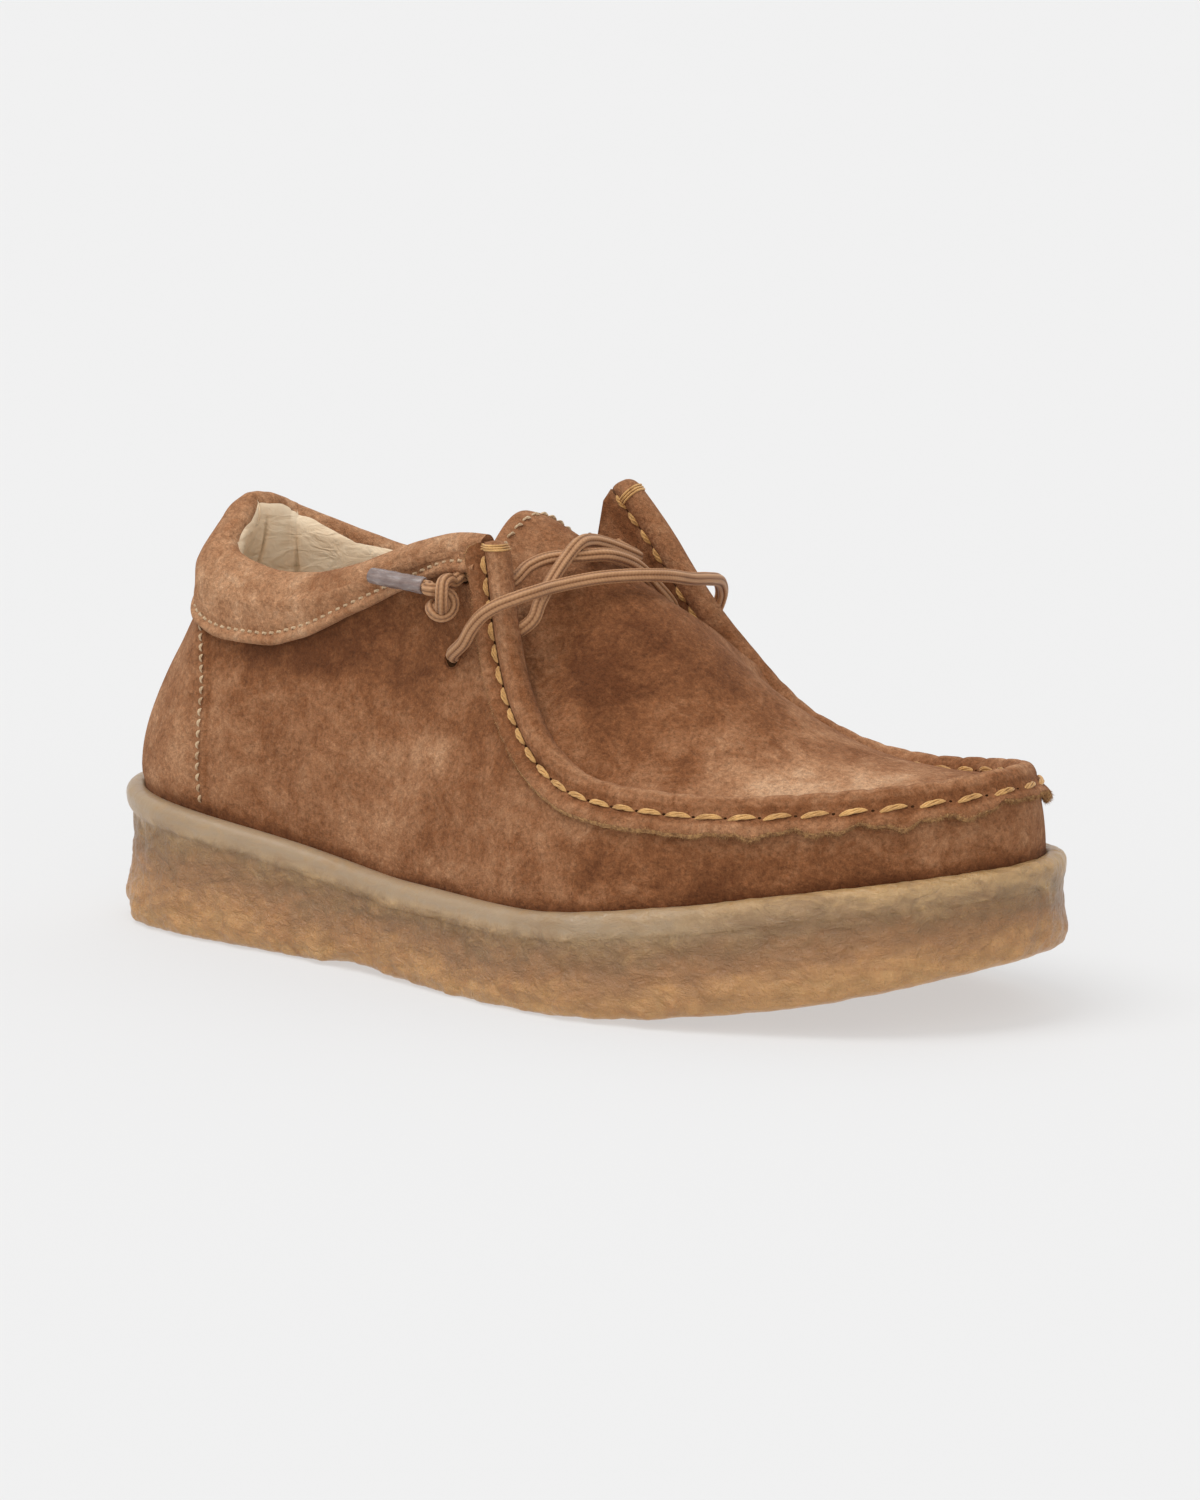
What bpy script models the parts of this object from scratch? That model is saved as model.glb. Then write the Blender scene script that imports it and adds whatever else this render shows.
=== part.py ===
"""A right shoe for the street: a suede moccasin upper with a raised apron seam, a padded collar, a thin
elastic lace with a knot and a sleeve at each end, and a gum cupsole. Metres; +X runs from heel to toe,
+Y to the medial side, +Z up. The origin is on the floor under the middle of the sole.

The upper's wall is one function of two numbers: u, the share of the way round the sole's outline (from
the heel along the lateral side to the toe, and back along the medial side), and h, the height above the
sole's lip. Everything that sits on the wall takes its place from that function."""

import math
from collections import namedtuple

import bmesh
import bpy
import numpy as np

# Driving dimensions
LENGTH = 0.270
BALL_WIDTH = 0.1057
LIP_RISE = 0.003
LIP_INSET = 0.005
RECESS_DEPTH = 0.004
GAP = 0.0003
CURVED_GAP = 0.0005
COLLAR_GAP = 0.0007
WALL = 0.002
INSOLE_THICKNESS = 0.0045
TONGUE_THICKNESS = 0.0026
TOE_SPRING = 0.0176
SPRING_START = 0.020
ARCH_RISE = 0.0024
LACE = 0.0034

# The apron seam: a rolled edge, and behind its stitches the raw edge of the leather
ROLL_WIDTH = 0.0062
ROLL_HEIGHT = 0.0036
RAW_EDGE = 0.0044
RAW_EDGE_STEP = 0.0016

# Plan of the sole: half widths as shares of BALL_WIDTH, at shares of LENGTH from the heel. The last row
# is the tip of the toe, which lies off the axis.
Outline = namedtuple("Outline", "along lateral medial")
OUTLINE = (
    Outline(0.000, 0.000, 0.000),
    Outline(0.028, 0.173, 0.179),
    Outline(0.100, 0.286, 0.279),
    Outline(0.222, 0.331, 0.317),
    Outline(0.359, 0.383, 0.322),
    Outline(0.500, 0.475, 0.350),
    Outline(0.611, 0.527, 0.416),
    Outline(0.715, 0.501, 0.473),
    Outline(0.815, 0.421, 0.478),
    Outline(0.907, 0.303, 0.407),
    Outline(0.970, 0.137, 0.274),
    Outline(1.000, -0.066, 0.066),
)

# Height of the widest line of the sole's lip
Lip = namedtuple("Lip", "x height")
LIP = (
    Lip(-0.135, 0.0331),
    Lip(-0.100, 0.0302),
    Lip(-0.060, 0.0262),
    Lip(-0.020, 0.0223),
    Lip(0.020, 0.0221),
    Lip(0.060, 0.0262),
    Lip(0.100, 0.0326),
    Lip(0.135, 0.0370),
)

# The sole's side, from the bottom up, as rings inside its widest outline. A ring's height is a share of
# the way from the ground to the lip's widest line, plus a rise.
BOTTOM_INSET = 0.0022
SoleRing = namedtuple("SoleRing", "inset share rise")
SOLE_RINGS = (
    SoleRing(0.0005, 0.0, 0.0007),
    SoleRing(0.0, 0.0, 0.0026),
    SoleRing(0.0012, 0.38, 0.0),
    SoleRing(0.0010, 1.0, -0.0026),
    SoleRing(0.0001, 1.0, -0.0010),
    SoleRing(0.0, 1.0, 0.0),
    SoleRing(0.0008, 1.0, 0.0018),
    SoleRing(0.0024, 1.0, LIP_RISE - 0.0003),
    SoleRing(LIP_INSET - CURVED_GAP, 1.0, LIP_RISE),
    SoleRing(LIP_INSET - CURVED_GAP, 1.0, LIP_RISE - RECESS_DEPTH),
)

# How far the wall leans in from the lip at three heights above it, on each side
LOW, MIDDLE, HIGH = 0.015, 0.040, 0.075
Lean = namedtuple("Lean", "x low middle high medial_low medial_middle medial_high")
LEAN = (
    Lean(-0.135, 0.0020, 0.0142, 0.0272, 0.0020, 0.0142, 0.0272),
    Lean(-0.118, 0.0009, 0.0095, 0.0216, 0.0009, 0.0095, 0.0216),
    Lean(-0.100, -0.0004, 0.0045, 0.0125, -0.0004, 0.0045, 0.0125),
    Lean(-0.060, -0.0008, 0.0020, 0.0070, -0.0005, 0.0020, 0.0065),
    Lean(-0.020, 0.0010, 0.0060, 0.0125, 0.0005, 0.0030, 0.0065),
    Lean(0.010, 0.0020, 0.0090, 0.0170, 0.0010, 0.0050, 0.0090),
    Lean(0.040, 0.0025, 0.0110, 0.0220, 0.0015, 0.0080, 0.0150),
    Lean(0.080, 0.0020, 0.0110, 0.0220, 0.0020, 0.0110, 0.0220),
    Lean(0.135, 0.0020, 0.0100, 0.0200, 0.0020, 0.0100, 0.0200),
)

# The collar's top edge, and the lower edge of its outer flap, along the lip's outline
Collar = namedtuple("Collar", "x lateral_top medial_top lateral_edge medial_edge")
COLLAR = (
    Collar(-0.135, 0.1115, 0.1115, 0.0880, 0.0880),
    Collar(-0.124, 0.1097, 0.1118, 0.0862, 0.0862),
    Collar(-0.118, 0.1085, 0.1116, 0.0850, 0.0850),
    Collar(-0.106, 0.1045, 0.1100, 0.0810, 0.0815),
    Collar(-0.098, 0.1013, 0.1084, 0.0790, 0.0798),
    Collar(-0.088, 0.0980, 0.1050, 0.0776, 0.0785),
    Collar(-0.075, 0.0962, 0.1010, 0.0778, 0.0780),
    Collar(-0.062, 0.0972, 0.0984, 0.0810, 0.0800),
    Collar(-0.047, 0.1012, 0.0985, 0.0880, 0.0845),
    Collar(-0.030, 0.1073, 0.1010, 0.0960, 0.0900),
    Collar(-0.015, 0.1110, 0.1035, 0.1018, 0.0945),
    Collar(-0.009, 0.1113, 0.1060, 0.1025, 0.0970),
    Collar(-0.004, 0.1115, 0.1165, 0.1035, 0.1000),
)
COLLAR_END = {"lateral": -0.0175, "medial": -0.0145}
TOP_BELOW_COLLAR = 0.0035

# One section of the padded collar, which is folded over the wall's top. A point's height is a share of
# the way from the flap's lower edge to the top, less a drop; its place outside the wall's outer face is
# a share of the pad, plus a reach.
PAD, PAD_SHARE = 0.0016, 0.10
CollarPoint = namedtuple("CollarPoint", "share drop pad reach")
COLLAR_SECTION = (
    CollarPoint(0.00, 0.0, 0.0, COLLAR_GAP),
    CollarPoint(0.00, 0.0, 0.0, 0.0016),
    CollarPoint(0.25, 0.0, 0.5, 0.0009),
    CollarPoint(0.60, 0.0, 1.0, 0.0),
    CollarPoint(1.00, 0.0034, 0.50, 0.0004),
    CollarPoint(1.00, 0.0010, 0.0, -0.0002),
    CollarPoint(1.00, 0.0, 0.0, -0.0026),
    CollarPoint(1.00, 0.0012, 0.0, -0.0048),
    CollarPoint(1.00, 0.0036, 0.0, -0.0058),
    CollarPoint(0.55, 0.0, 0.0, -0.0054),
    CollarPoint(0.30, 0.0, 0.0, -0.0040),
    CollarPoint(0.28, 0.0, 0.0, -WALL - COLLAR_GAP),
    CollarPoint(1.00, TOP_BELOW_COLLAR - COLLAR_GAP, 0.0, -WALL - COLLAR_GAP),
    CollarPoint(1.00, TOP_BELOW_COLLAR - COLLAR_GAP, 0.0, COLLAR_GAP),
)

# The stitched line of the seam: down the free front edge of each eyestay to the throat, and from there
# round the toe. Both sides end at the tip, which lies at TIP_HEIGHT above the lip.
Seam = namedtuple("Seam", "x z")
EYESTAY = {
    "lateral": (
        Seam(-0.0042, 0.1100),
        Seam(-0.0011, 0.0934),
        Seam(0.0053, 0.0769),
        Seam(0.0120, 0.0675),
        Seam(0.0200, 0.0598),
    ),
    "medial": (
        Seam(-0.0030, 0.1172),
        Seam(0.0087, 0.1045),
        Seam(0.0159, 0.0945),
        Seam(0.0242, 0.0835),
        Seam(0.0345, 0.0718),
    ),
}
APRON = {
    "lateral": (
        Seam(0.0346, 0.0532),
        Seam(0.0600, 0.0513),
        Seam(0.0850, 0.0523),
        Seam(0.1070, 0.0547),
        Seam(0.1190, 0.0562),
    ),
    "medial": (
        Seam(0.0485, 0.0598),
        Seam(0.0613, 0.0540),
        Seam(0.0750, 0.0514),
        Seam(0.0950, 0.0518),
        Seam(0.1120, 0.0542),
    ),
}
TIP_HEIGHT = 0.0175

# The line along the top of the foot, over tongue and apron
Ridge = namedtuple("Ridge", "x z")
RIDGE = (
    Ridge(-0.016, 0.1175),
    Ridge(-0.006, 0.1123),
    Ridge(0.004, 0.1076),
    Ridge(0.014, 0.1020),
    Ridge(0.024, 0.0963),
    Ridge(0.034, 0.0900),
    Ridge(0.044, 0.0828),
    Ridge(0.054, 0.0755),
    Ridge(0.064, 0.0692),
    Ridge(0.076, 0.0638),
    Ridge(0.088, 0.0605),
    Ridge(0.100, 0.0590),
    Ridge(0.124, 0.0585),
)

# The tongue's edges, from the throat to its top: they lie behind the eyestays, clear of the wall
TongueEdge = namedtuple("TongueEdge", "share x z medial_x medial_z clearance")
TONGUE_EDGES = (
    TongueEdge(0.00, 0.0200, 0.0610, 0.0370, 0.0745, 0.0010),
    TongueEdge(0.35, 0.0090, 0.0680, 0.0230, 0.0800, 0.0010),
    TongueEdge(0.70, -0.0020, 0.0860, 0.0060, 0.0940, 0.0025),
    TongueEdge(1.00, -0.0110, 0.1060, -0.0090, 0.1060, 0.0060),
)
# How far the tongue stays inside the rolled edge at the throat, as a share of the roll's width and as a
# gap in metres, and over which share of its length that fades into the edges above
THROAT_INSET = 0.3
THROAT_GAP = 0.0018
THROAT_BLEND = 0.28
TONGUE_BOW = 0.003

# Eyelets, as the place on the wall that each goes through
Eyelet = namedtuple("Eyelet", "name side x z")
EYELETS = (
    Eyelet("lateral_lower", "lateral", -0.0120, 0.0800),
    Eyelet("lateral_upper", "lateral", -0.0115, 0.1010),
    Eyelet("medial_lower", "medial", 0.0180, 0.0815),
    Eyelet("medial_upper", "medial", -0.0005, 0.1035),
)
EYELET_RADIUS = 0.0021

# The lace: one bar outside over both eyestays, and two that cross under it, over the tongue. Each runs
# from the lateral to the medial side and stops just clear of its eyelets.
Place = namedtuple("Place", "x y z")
LACE_BARS = {
    "outer": (
        Place(-0.0106, -0.0320, 0.0810),
        Place(-0.0062, -0.0332, 0.0860),
        Place(-0.0033, -0.0341, 0.0897),
        Place(0.0006, -0.0348, 0.0934),
        Place(0.0052, -0.0348, 0.0962),
        Place(0.0095, -0.0330, 0.0981),
        Place(0.0118, -0.0285, 0.0992),
        Place(0.0121, -0.0214, 0.0996),
        Place(0.0179, -0.0120, 0.1010),
        Place(0.0229, -0.0040, 0.1012),
        Place(0.0269, 0.0060, 0.1003),
        Place(0.0275, 0.0160, 0.0983),
        Place(0.0270, 0.0245, 0.0972),
        Place(0.0258, 0.0315, 0.0956),
        Place(0.0238, 0.0355, 0.0915),
        Place(0.0215, 0.0355, 0.0865),
        Place(0.0193, 0.0326, 0.0825),
    ),
    "rising": (
        Place(0.0088, -0.0256, 0.0915),
        Place(0.0096, -0.0236, 0.0956),
        Place(0.0099, -0.0185, 0.1010),
        Place(0.0101, -0.0132, 0.1053),
        Place(0.0110, -0.0090, 0.1087),
        Place(0.0104, -0.0030, 0.1088),
        Place(0.0106, 0.0030, 0.1074),
        Place(0.0119, 0.0110, 0.1044),
        Place(0.0114, 0.0155, 0.1028),
        Place(0.0085, 0.0195, 0.1022),
    ),
    "falling": (
        Place(0.0007, -0.0234, 0.1000),
        Place(0.0030, -0.0190, 0.1035),
        Place(0.0053, -0.0150, 0.1051),
        Place(0.0086, -0.0112, 0.1056),
        Place(0.0117, -0.0080, 0.1056),
        Place(0.0148, -0.0030, 0.1056),
        Place(0.0160, 0.0030, 0.1040),
        Place(0.0165, 0.0090, 0.1013),
        Place(0.0168, 0.0160, 0.0960),
        Place(0.0175, 0.0220, 0.0905),
    ),
}

# An overhand knot outside each upper eyelet: a ring that lies along the wall, and a turn round it. The
# end beyond it points to the heel, in a clear sleeve.
Knot = namedtuple("Knot", "side x y z sleeve_start sleeve_end")
KNOTS = (
    Knot(
        "lateral", -0.0128, -0.0326, 0.0986, Place(-0.0192, -0.0318, 0.0984), Place(-0.0360, -0.0312, 0.0995)
    ),
    Knot("medial", -0.0016, 0.0325, 0.1005, Place(-0.0080, 0.0326, 0.1004), Place(-0.0248, 0.0328, 0.1015)),
)
KNOT_RADIUS = 0.0029
KNOT_DROP = 0.0040
KNOT_BACK = 0.0006
STEM_RISE = 0.0006
STEM_BACK = 0.001
TAIL_REACHES = (0.0045, 0.0025, CURVED_GAP)
SLEEVE_DIAMETER = 0.0042

# How finely the solids are divided
HALF_COLUMNS = 42
COLLAR_COLUMNS = 19
EYESTAY_COLUMNS = 9
APRON_COLUMNS = 20
COLLAR_SECTIONS = 24
WALL_ROWS = 6
ROLL_ANGLES = (35, 85, 135, 180)
ACROSS = 10
TONGUE_RUNGS = 12
CORD_SIDES = 7
SLEEVE_SIDES = 12
KNOT_STEPS = 10

SUEDE = (0.27, 0.125, 0.055)
CORD = (0.22, 0.11, 0.055)
GUM = (0.45, 0.27, 0.12)
LINING = (0.62, 0.52, 0.38)
SLEEVE = (0.36, 0.30, 0.28)


# Curves


def curve(places, values):
    """A smooth curve through the values, which doesn't swing past them between two places."""
    places = np.array(places, float)
    values = np.array(values, float)
    steps = np.diff(places)
    slopes = np.diff(values) / steps
    tangents = np.concatenate([slopes[:1], np.zeros(len(slopes) - 1), slopes[-1:]])
    for i in range(1, len(slopes)):
        before, after = slopes[i - 1], slopes[i]
        if before * after > 0:
            near = 2 * steps[i] + steps[i - 1]
            far = steps[i] + 2 * steps[i - 1]
            tangents[i] = (near + far) / (near / before + far / after)

    def at(place):
        place = np.clip(place, places[0], places[-1])
        i = np.clip(np.searchsorted(places, place, side="right") - 1, 0, len(steps) - 1)
        t = (place - places[i]) / steps[i]
        return (
            (2 * t**3 - 3 * t**2 + 1) * values[i]
            + (t**3 - 2 * t**2 + t) * steps[i] * tangents[i]
            + (3 * t**2 - 2 * t**3) * values[i + 1]
            + (t**3 - t**2) * steps[i] * tangents[i + 1]
        )

    return at


def column(table, place, value):
    return curve([getattr(row, place) for row in table], [getattr(row, value) for row in table])


def closed_curve(points):
    """A smooth closed curve through the points, as a function of the share of the way round, and the
    shares at which it meets them."""
    points = np.array(points, float)
    count = len(points)
    steps = np.linalg.norm(np.roll(points, -1, 0) - points, axis=1) ** 0.5
    ends = np.concatenate([[0], np.cumsum(steps)])
    matrix = np.zeros((count, count))
    right = np.zeros_like(points)
    for i in range(count):
        before, after = steps[i - 1], steps[i]
        following = (i + 1) % count
        matrix[i, i - 1] += after
        matrix[i, i] += 2 * (before + after)
        matrix[i, following] += before
        right[i] = 3 * after * (points[i] - points[i - 1]) / before
        right[i] += 3 * before * (points[following] - points[i]) / after
    tangents = np.linalg.solve(matrix, right)

    def at(share):
        place = np.asarray(share, float) % 1 * ends[-1]
        i = np.clip(np.searchsorted(ends, place, side="right") - 1, 0, count - 1)
        following = (i + 1) % count
        length = steps[i][..., None]
        t = (place - ends[i])[..., None] / length
        return (
            (2 * t**3 - 3 * t**2 + 1) * points[i]
            + (t**3 - 2 * t**2 + t) * length * tangents[i]
            + (3 * t**2 - 2 * t**3) * points[following]
            + (t**3 - t**2) * length * tangents[following]
        )

    return at, ends / ends[-1]


def unit(vectors):
    return vectors / np.linalg.norm(vectors, axis=-1)[..., None]


def smoothstep(low, high, value):
    t = np.clip((value - low) / (high - low), 0, 1)
    return t * t * (3 - 2 * t)


# The shoe's functions


def plan_points():
    places = [(row.along - 0.5) * LENGTH for row in OUTLINE]
    lateral = [(x, -row.lateral * BALL_WIDTH) for x, row in zip(places, OUTLINE)]
    medial = [(x, row.medial * BALL_WIDTH) for x, row in zip(places, OUTLINE)][1:-1]
    return lateral + medial[::-1]


PLAN, PLAN_SHARES = closed_curve(plan_points())
TIP = PLAN_SHARES[len(OUTLINE) - 1]
AROUND = PLAN(np.linspace(0, 1, 2000, endpoint=False))
CENTRE = (AROUND.min(axis=0) + AROUND.max(axis=0)) / 2
PERIMETER = np.linalg.norm(np.roll(AROUND, -1, 0) - AROUND, axis=1).sum()

LIP_HEIGHT = column(LIP, "x", "height")
SPINE = np.array([(-0.095, 0.002), (0.095, 0.006)])
RIDGE_HEIGHT = column(RIDGE, "x", "z")


def outline(u, inset=0.0):
    """Points on the sole's outline, moved in by inset, and the directions that point inwards."""
    step = 1e-4
    along = unit(PLAN(np.asarray(u) + step) - PLAN(np.asarray(u) - step))
    inward = np.stack([-along[..., 1], along[..., 0]], -1)
    return PLAN(u) - CENTRE + inward * np.asarray(inset)[..., None], inward


def lip_top(x):
    return LIP_HEIGHT(x) + LIP_RISE


def ground(x, y):
    """The sole's underside: flat under the heel and the ball, raised at the arch and the toe."""
    spring = TOE_SPRING * (np.clip(x - SPRING_START, 0, None) / (LENGTH / 2 - SPRING_START)) ** 2
    arch = np.sin(np.pi * np.clip((x + 0.062) / 0.050, 0, 1)) ** 2
    medial = smoothstep(-0.050, 0.030, y)
    return spring + ARCH_RISE * arch * (0.5 + 0.5 * medial)


def lean(u, x, h):
    """How far the wall stands in from the lip at height h: a cubic through the table's three heights."""
    low, middle, high = (
        np.where(
            np.asarray(u) < TIP,
            column(LEAN, "x", name)(x),
            column(LEAN, "x", "medial_" + name)(x),
        )
        for name in ("low", "middle", "high")
    )
    h = np.maximum(h, 0)
    return (
        low * h * (h - MIDDLE) * (h - HIGH) / (LOW * (LOW - MIDDLE) * (LOW - HIGH))
        + middle * h * (h - LOW) * (h - HIGH) / (MIDDLE * (MIDDLE - LOW) * (MIDDLE - HIGH))
        + high * h * (h - LOW) * (h - MIDDLE) / (HIGH * (HIGH - LOW) * (HIGH - MIDDLE))
    )


def towards_spine(flat):
    """Directions from points in plan to the nearest point of a line along the middle of the shoe."""
    whole = SPINE[1] - SPINE[0]
    share = np.clip(((flat - SPINE[0]) @ whole) / (whole @ whole), 0, 1)
    return unit(SPINE[0] + whole * share[..., None] - flat)


def wall(u, h, out=0.0):
    """A point of the upper's outer face, or one that stands out from it, or in from it, by out."""
    u, h = np.broadcast_arrays(np.asarray(u, float), np.asarray(h, float))
    outer, _ = outline(u)
    foot, _ = outline(u, np.full(u.shape, LIP_INSET))
    flat = foot + towards_spine(foot) * lean(u, outer[..., 0], h)[..., None]
    point = np.concatenate([flat, (lip_top(outer[..., 0]) + h)[..., None]], -1)
    if np.any(out):
        point = point + wall_normal(u, h) * np.asarray(out)[..., None]
    return point


def wall_normal(u, h):
    step = 1e-4
    around = wall(u + step, h) - wall(u - step, h)
    up = wall(u, h + step) - wall(u, h - step)
    return unit(np.cross(around, up))


def on_wall(side, x, z):
    """(u, h) of the wall's point at x and z, found by halving."""
    low, high = (0.04, TIP) if side == "lateral" else (0.96, TIP)
    for _ in range(50):
        middle = (low + high) / 2
        height = z - lip_top(outline(middle)[0][0])
        if wall(middle, height)[0] < x:
            low = middle
        else:
            high = middle
    return middle, z - lip_top(outline(middle)[0][0])


def share_at(side, x):
    """The u at which the outline passes x."""
    low, high = (0.0, TIP) if side == "lateral" else (1.0, TIP)
    for _ in range(50):
        middle = (low + high) / 2
        if outline(middle)[0][0] < x:
            low = middle
        else:
            high = middle
    return middle


def heel(side):
    return 0.0 if side == "lateral" else 1.0


def collar_height(side, u, name):
    x = outline(u)[0][..., 0]
    return column(COLLAR, "x", side + "_" + name)(x) - lip_top(x)


# Meshes


class Shell:
    """Points and faces of one closed body."""

    def __init__(self):
        self.points = []
        self.faces = []

    def add(self, points):
        points = np.asarray(points, float)
        first = len(self.points)
        self.points.extend(points.reshape(-1, 3))
        return np.arange(first, len(self.points)).reshape(points.shape[:-1])

    def face(self, corners):
        kept = list(dict.fromkeys(int(corner) for corner in corners))
        if len(kept) > 2:
            self.faces.append(kept)

    def strip(self, first, second, closed=False):
        """Faces between two rows of points of the same length."""
        count = len(first)
        for i in range(count if closed else count - 1):
            j = (i + 1) % count
            self.face((first[i], first[j], second[j], second[i]))

    def grid(self, rows, closed=False):
        for first, second in zip(rows, rows[1:]):
            self.strip(first, second, closed)

    def fan(self, loop):
        """A flat end across a small loop of points."""
        middle = self.add(np.mean([self.points[i] for i in loop], axis=0)[None])[0]
        self.strip(loop, np.full(len(loop), middle), closed=True)

    def build(self, name, colour, roughness=0.8, sharp=40):
        mesh = bpy.data.meshes.new(name)
        mesh.from_pydata([tuple(point) for point in self.points], [], self.faces)
        body = bmesh.new()
        body.from_mesh(mesh)
        bmesh.ops.recalc_face_normals(body, faces=body.faces)
        if body.calc_volume(signed=True) < 0:
            bmesh.ops.reverse_faces(body, faces=body.faces)
        body.to_mesh(mesh)
        body.free()
        mesh.shade_smooth()
        mesh.set_sharp_from_angle(angle=math.radians(sharp))
        mesh.materials.append(material(name, colour, roughness))
        obj = bpy.data.objects.new(name, mesh)
        bpy.context.scene.collection.objects.link(obj)
        return obj


def material(name, colour, roughness):
    made = bpy.data.materials.new(name)
    made.use_nodes = True
    shader = made.node_tree.nodes["Principled BSDF"]
    shader.inputs["Base Color"].default_value = (*colour, 1)
    shader.inputs["Roughness"].default_value = roughness
    shader.inputs["Metallic"].default_value = 0
    return made


def loop_shares():
    """The u of each column: the lateral half from heel to toe, then the medial half back."""
    steps = np.arange(HALF_COLUMNS + 1) / HALF_COLUMNS
    lateral = TIP * steps
    medial = 1 - (1 - TIP) * steps
    return np.concatenate([lateral, medial[1:-1][::-1]])


def cap(shell, loop, height):
    """Closes a loop of the outline's columns with a surface whose height is a function of x and y."""
    across = 4
    opposite = [loop[0], *loop[: HALF_COLUMNS : -1]]
    rungs = []
    for i in range(HALF_COLUMNS + 1):
        left = loop[i]
        right = loop[HALF_COLUMNS] if i == HALF_COLUMNS else opposite[i]
        if i in (0, HALF_COLUMNS):
            rungs.append([left] * (across + 1))
            continue
        shares = np.arange(1, across)[:, None] / across
        inner = shell.points[left] * (1 - shares) + shell.points[right] * shares
        inner[:, 2] = height(inner[:, 0], inner[:, 1])
        rungs.append([left, *shell.add(inner), right])
    shell.grid(rungs)


# The pieces


def make_outsole():
    shell = Shell()
    shares = loop_shares()
    foot, _ = outline(shares)
    low = ground(foot[:, 0], foot[:, 1])
    lip = LIP_HEIGHT(foot[:, 0])

    def ring(inset, z):
        flat, _ = outline(shares, np.full(len(shares), inset))
        return shell.add(np.concatenate([flat, z[:, None]], 1))

    flat, _ = outline(shares, np.full(len(shares), BOTTOM_INSET))
    rings = [ring(BOTTOM_INSET, ground(flat[:, 0], flat[:, 1]))]
    for row in SOLE_RINGS:
        rings.append(ring(row.inset, low + (lip - low) * row.share + row.rise))
    shell.grid(rings, closed=True)
    cap(shell, rings[0], ground)
    cap(shell, rings[-1], lambda x, y: lip_top(x) - RECESS_DEPTH)
    shell.build("outsole", GUM, 0.55)


def make_insole():
    shell = Shell()
    shares = loop_shares()
    inset = LIP_INSET + WALL + CURVED_GAP
    bottom = GAP - RECESS_DEPTH
    rings = []
    for rise in (bottom, bottom + INSOLE_THICKNESS):
        flat, _ = outline(shares, np.full(len(shares), inset))
        edge, _ = outline(shares)
        rings.append(shell.add(np.concatenate([flat, (lip_top(edge[:, 0]) + rise)[:, None]], 1)))
    shell.grid(rings, closed=True)
    cap(shell, rings[0], lambda x, y: lip_top(x) + bottom)
    cap(shell, rings[-1], lambda x, y: lip_top(x) + bottom + INSOLE_THICKNESS)
    shell.build("insole", LINING, 0.7)


def seam_path(side):
    """The stitched line as (u, h): functions of the distance along it, the throat's distance, and its
    whole length."""
    rows = EYESTAY[side] + APRON[side]
    knots = np.array([on_wall(side, row.x, row.z) for row in rows] + [(TIP, TIP_HEIGHT)])
    steps = np.linalg.norm(np.diff(knots * (PERIMETER, 1), axis=0), axis=1)
    places = np.concatenate([[0], np.cumsum(steps)])
    throat = places[len(EYESTAY[side]) - 1]
    return curve(places, knots[:, 0]), curve(places, knots[:, 1]), throat, places[-1]


def seam_frames(points, normals, throat_distance):
    """For points along the seam: which way the rolled edge runs from the stitches, and which way it
    stands up. Beside the throat the roll lies on the wall; round the toe it lies on the apron."""
    tangents = unit(np.gradient(points, axis=0))
    on_side = unit(np.cross(normals, tangents))
    on_side *= np.sign(on_side[:, 2])[:, None]
    level = np.stack([-tangents[:, 1], tangents[:, 0], np.zeros(len(points))], 1)
    middle = points.mean(axis=0)
    level = unit(level * np.sign(((middle - points) * level).sum(1))[:, None])
    on_top = unit(level + np.array([0, 0, 0.15]))
    share = smoothstep(-0.010, 0.018, throat_distance)[:, None]
    across = unit(on_side * (1 - share) + on_top * share)
    across = unit(across - tangents * (across * tangents).sum(1)[:, None])
    up = unit(np.cross(tangents, across))
    up *= np.sign((up * (normals + np.array([0, 0, 1]))).sum(1))[:, None]
    return across, up


def half_columns(side):
    """(u, h) at the foot and at the top of each column of one half, from heel to tip, and how far each
    column of the seam is past the throat."""
    first = heel(side)
    u_at, h_at, throat, end = seam_path(side)
    places = np.concatenate(
        [
            np.linspace(0, throat, EYESTAY_COLUMNS, endpoint=False),
            np.linspace(throat, end, APRON_COLUMNS + 1),
        ]
    )
    corner = u_at(0.0) + (first - u_at(0.0)) * 0.012
    collar_u = first + (corner - first) * np.arange(COLLAR_COLUMNS) / (COLLAR_COLUMNS - 1)
    collar_h = collar_height(side, collar_u, "top") - TOP_BELOW_COLLAR
    collar_h[-1] = h_at(0.0) - 0.0005
    top = np.stack(
        [np.concatenate([collar_u, u_at(places)]), np.concatenate([collar_h, h_at(places)])], 1
    )
    corner_x = EYESTAY[side][0].x - 0.008
    throat_x = EYESTAY[side][-1].x + 0.006
    stops = [first, share_at(side, corner_x), share_at(side, throat_x), TIP]
    counts = [0, COLLAR_COLUMNS, COLLAR_COLUMNS + EYESTAY_COLUMNS, len(top) - 1]
    foot_u = np.interp(np.arange(len(top)), counts, stops)
    foot = np.stack([foot_u, np.full(len(top), GAP - RECESS_DEPTH)], 1)
    return foot, top, places - throat


def row_shares(length, seam):
    """Shares of a column's length at which its outer rows lie, up to the stitches."""
    stitches = 1.0 if seam else 1 - 0.003 / length
    raw = stitches - RAW_EDGE / length
    return np.concatenate([np.linspace(0, raw, WALL_ROWS), [raw + 0.0003 / length, stitches]])


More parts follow.
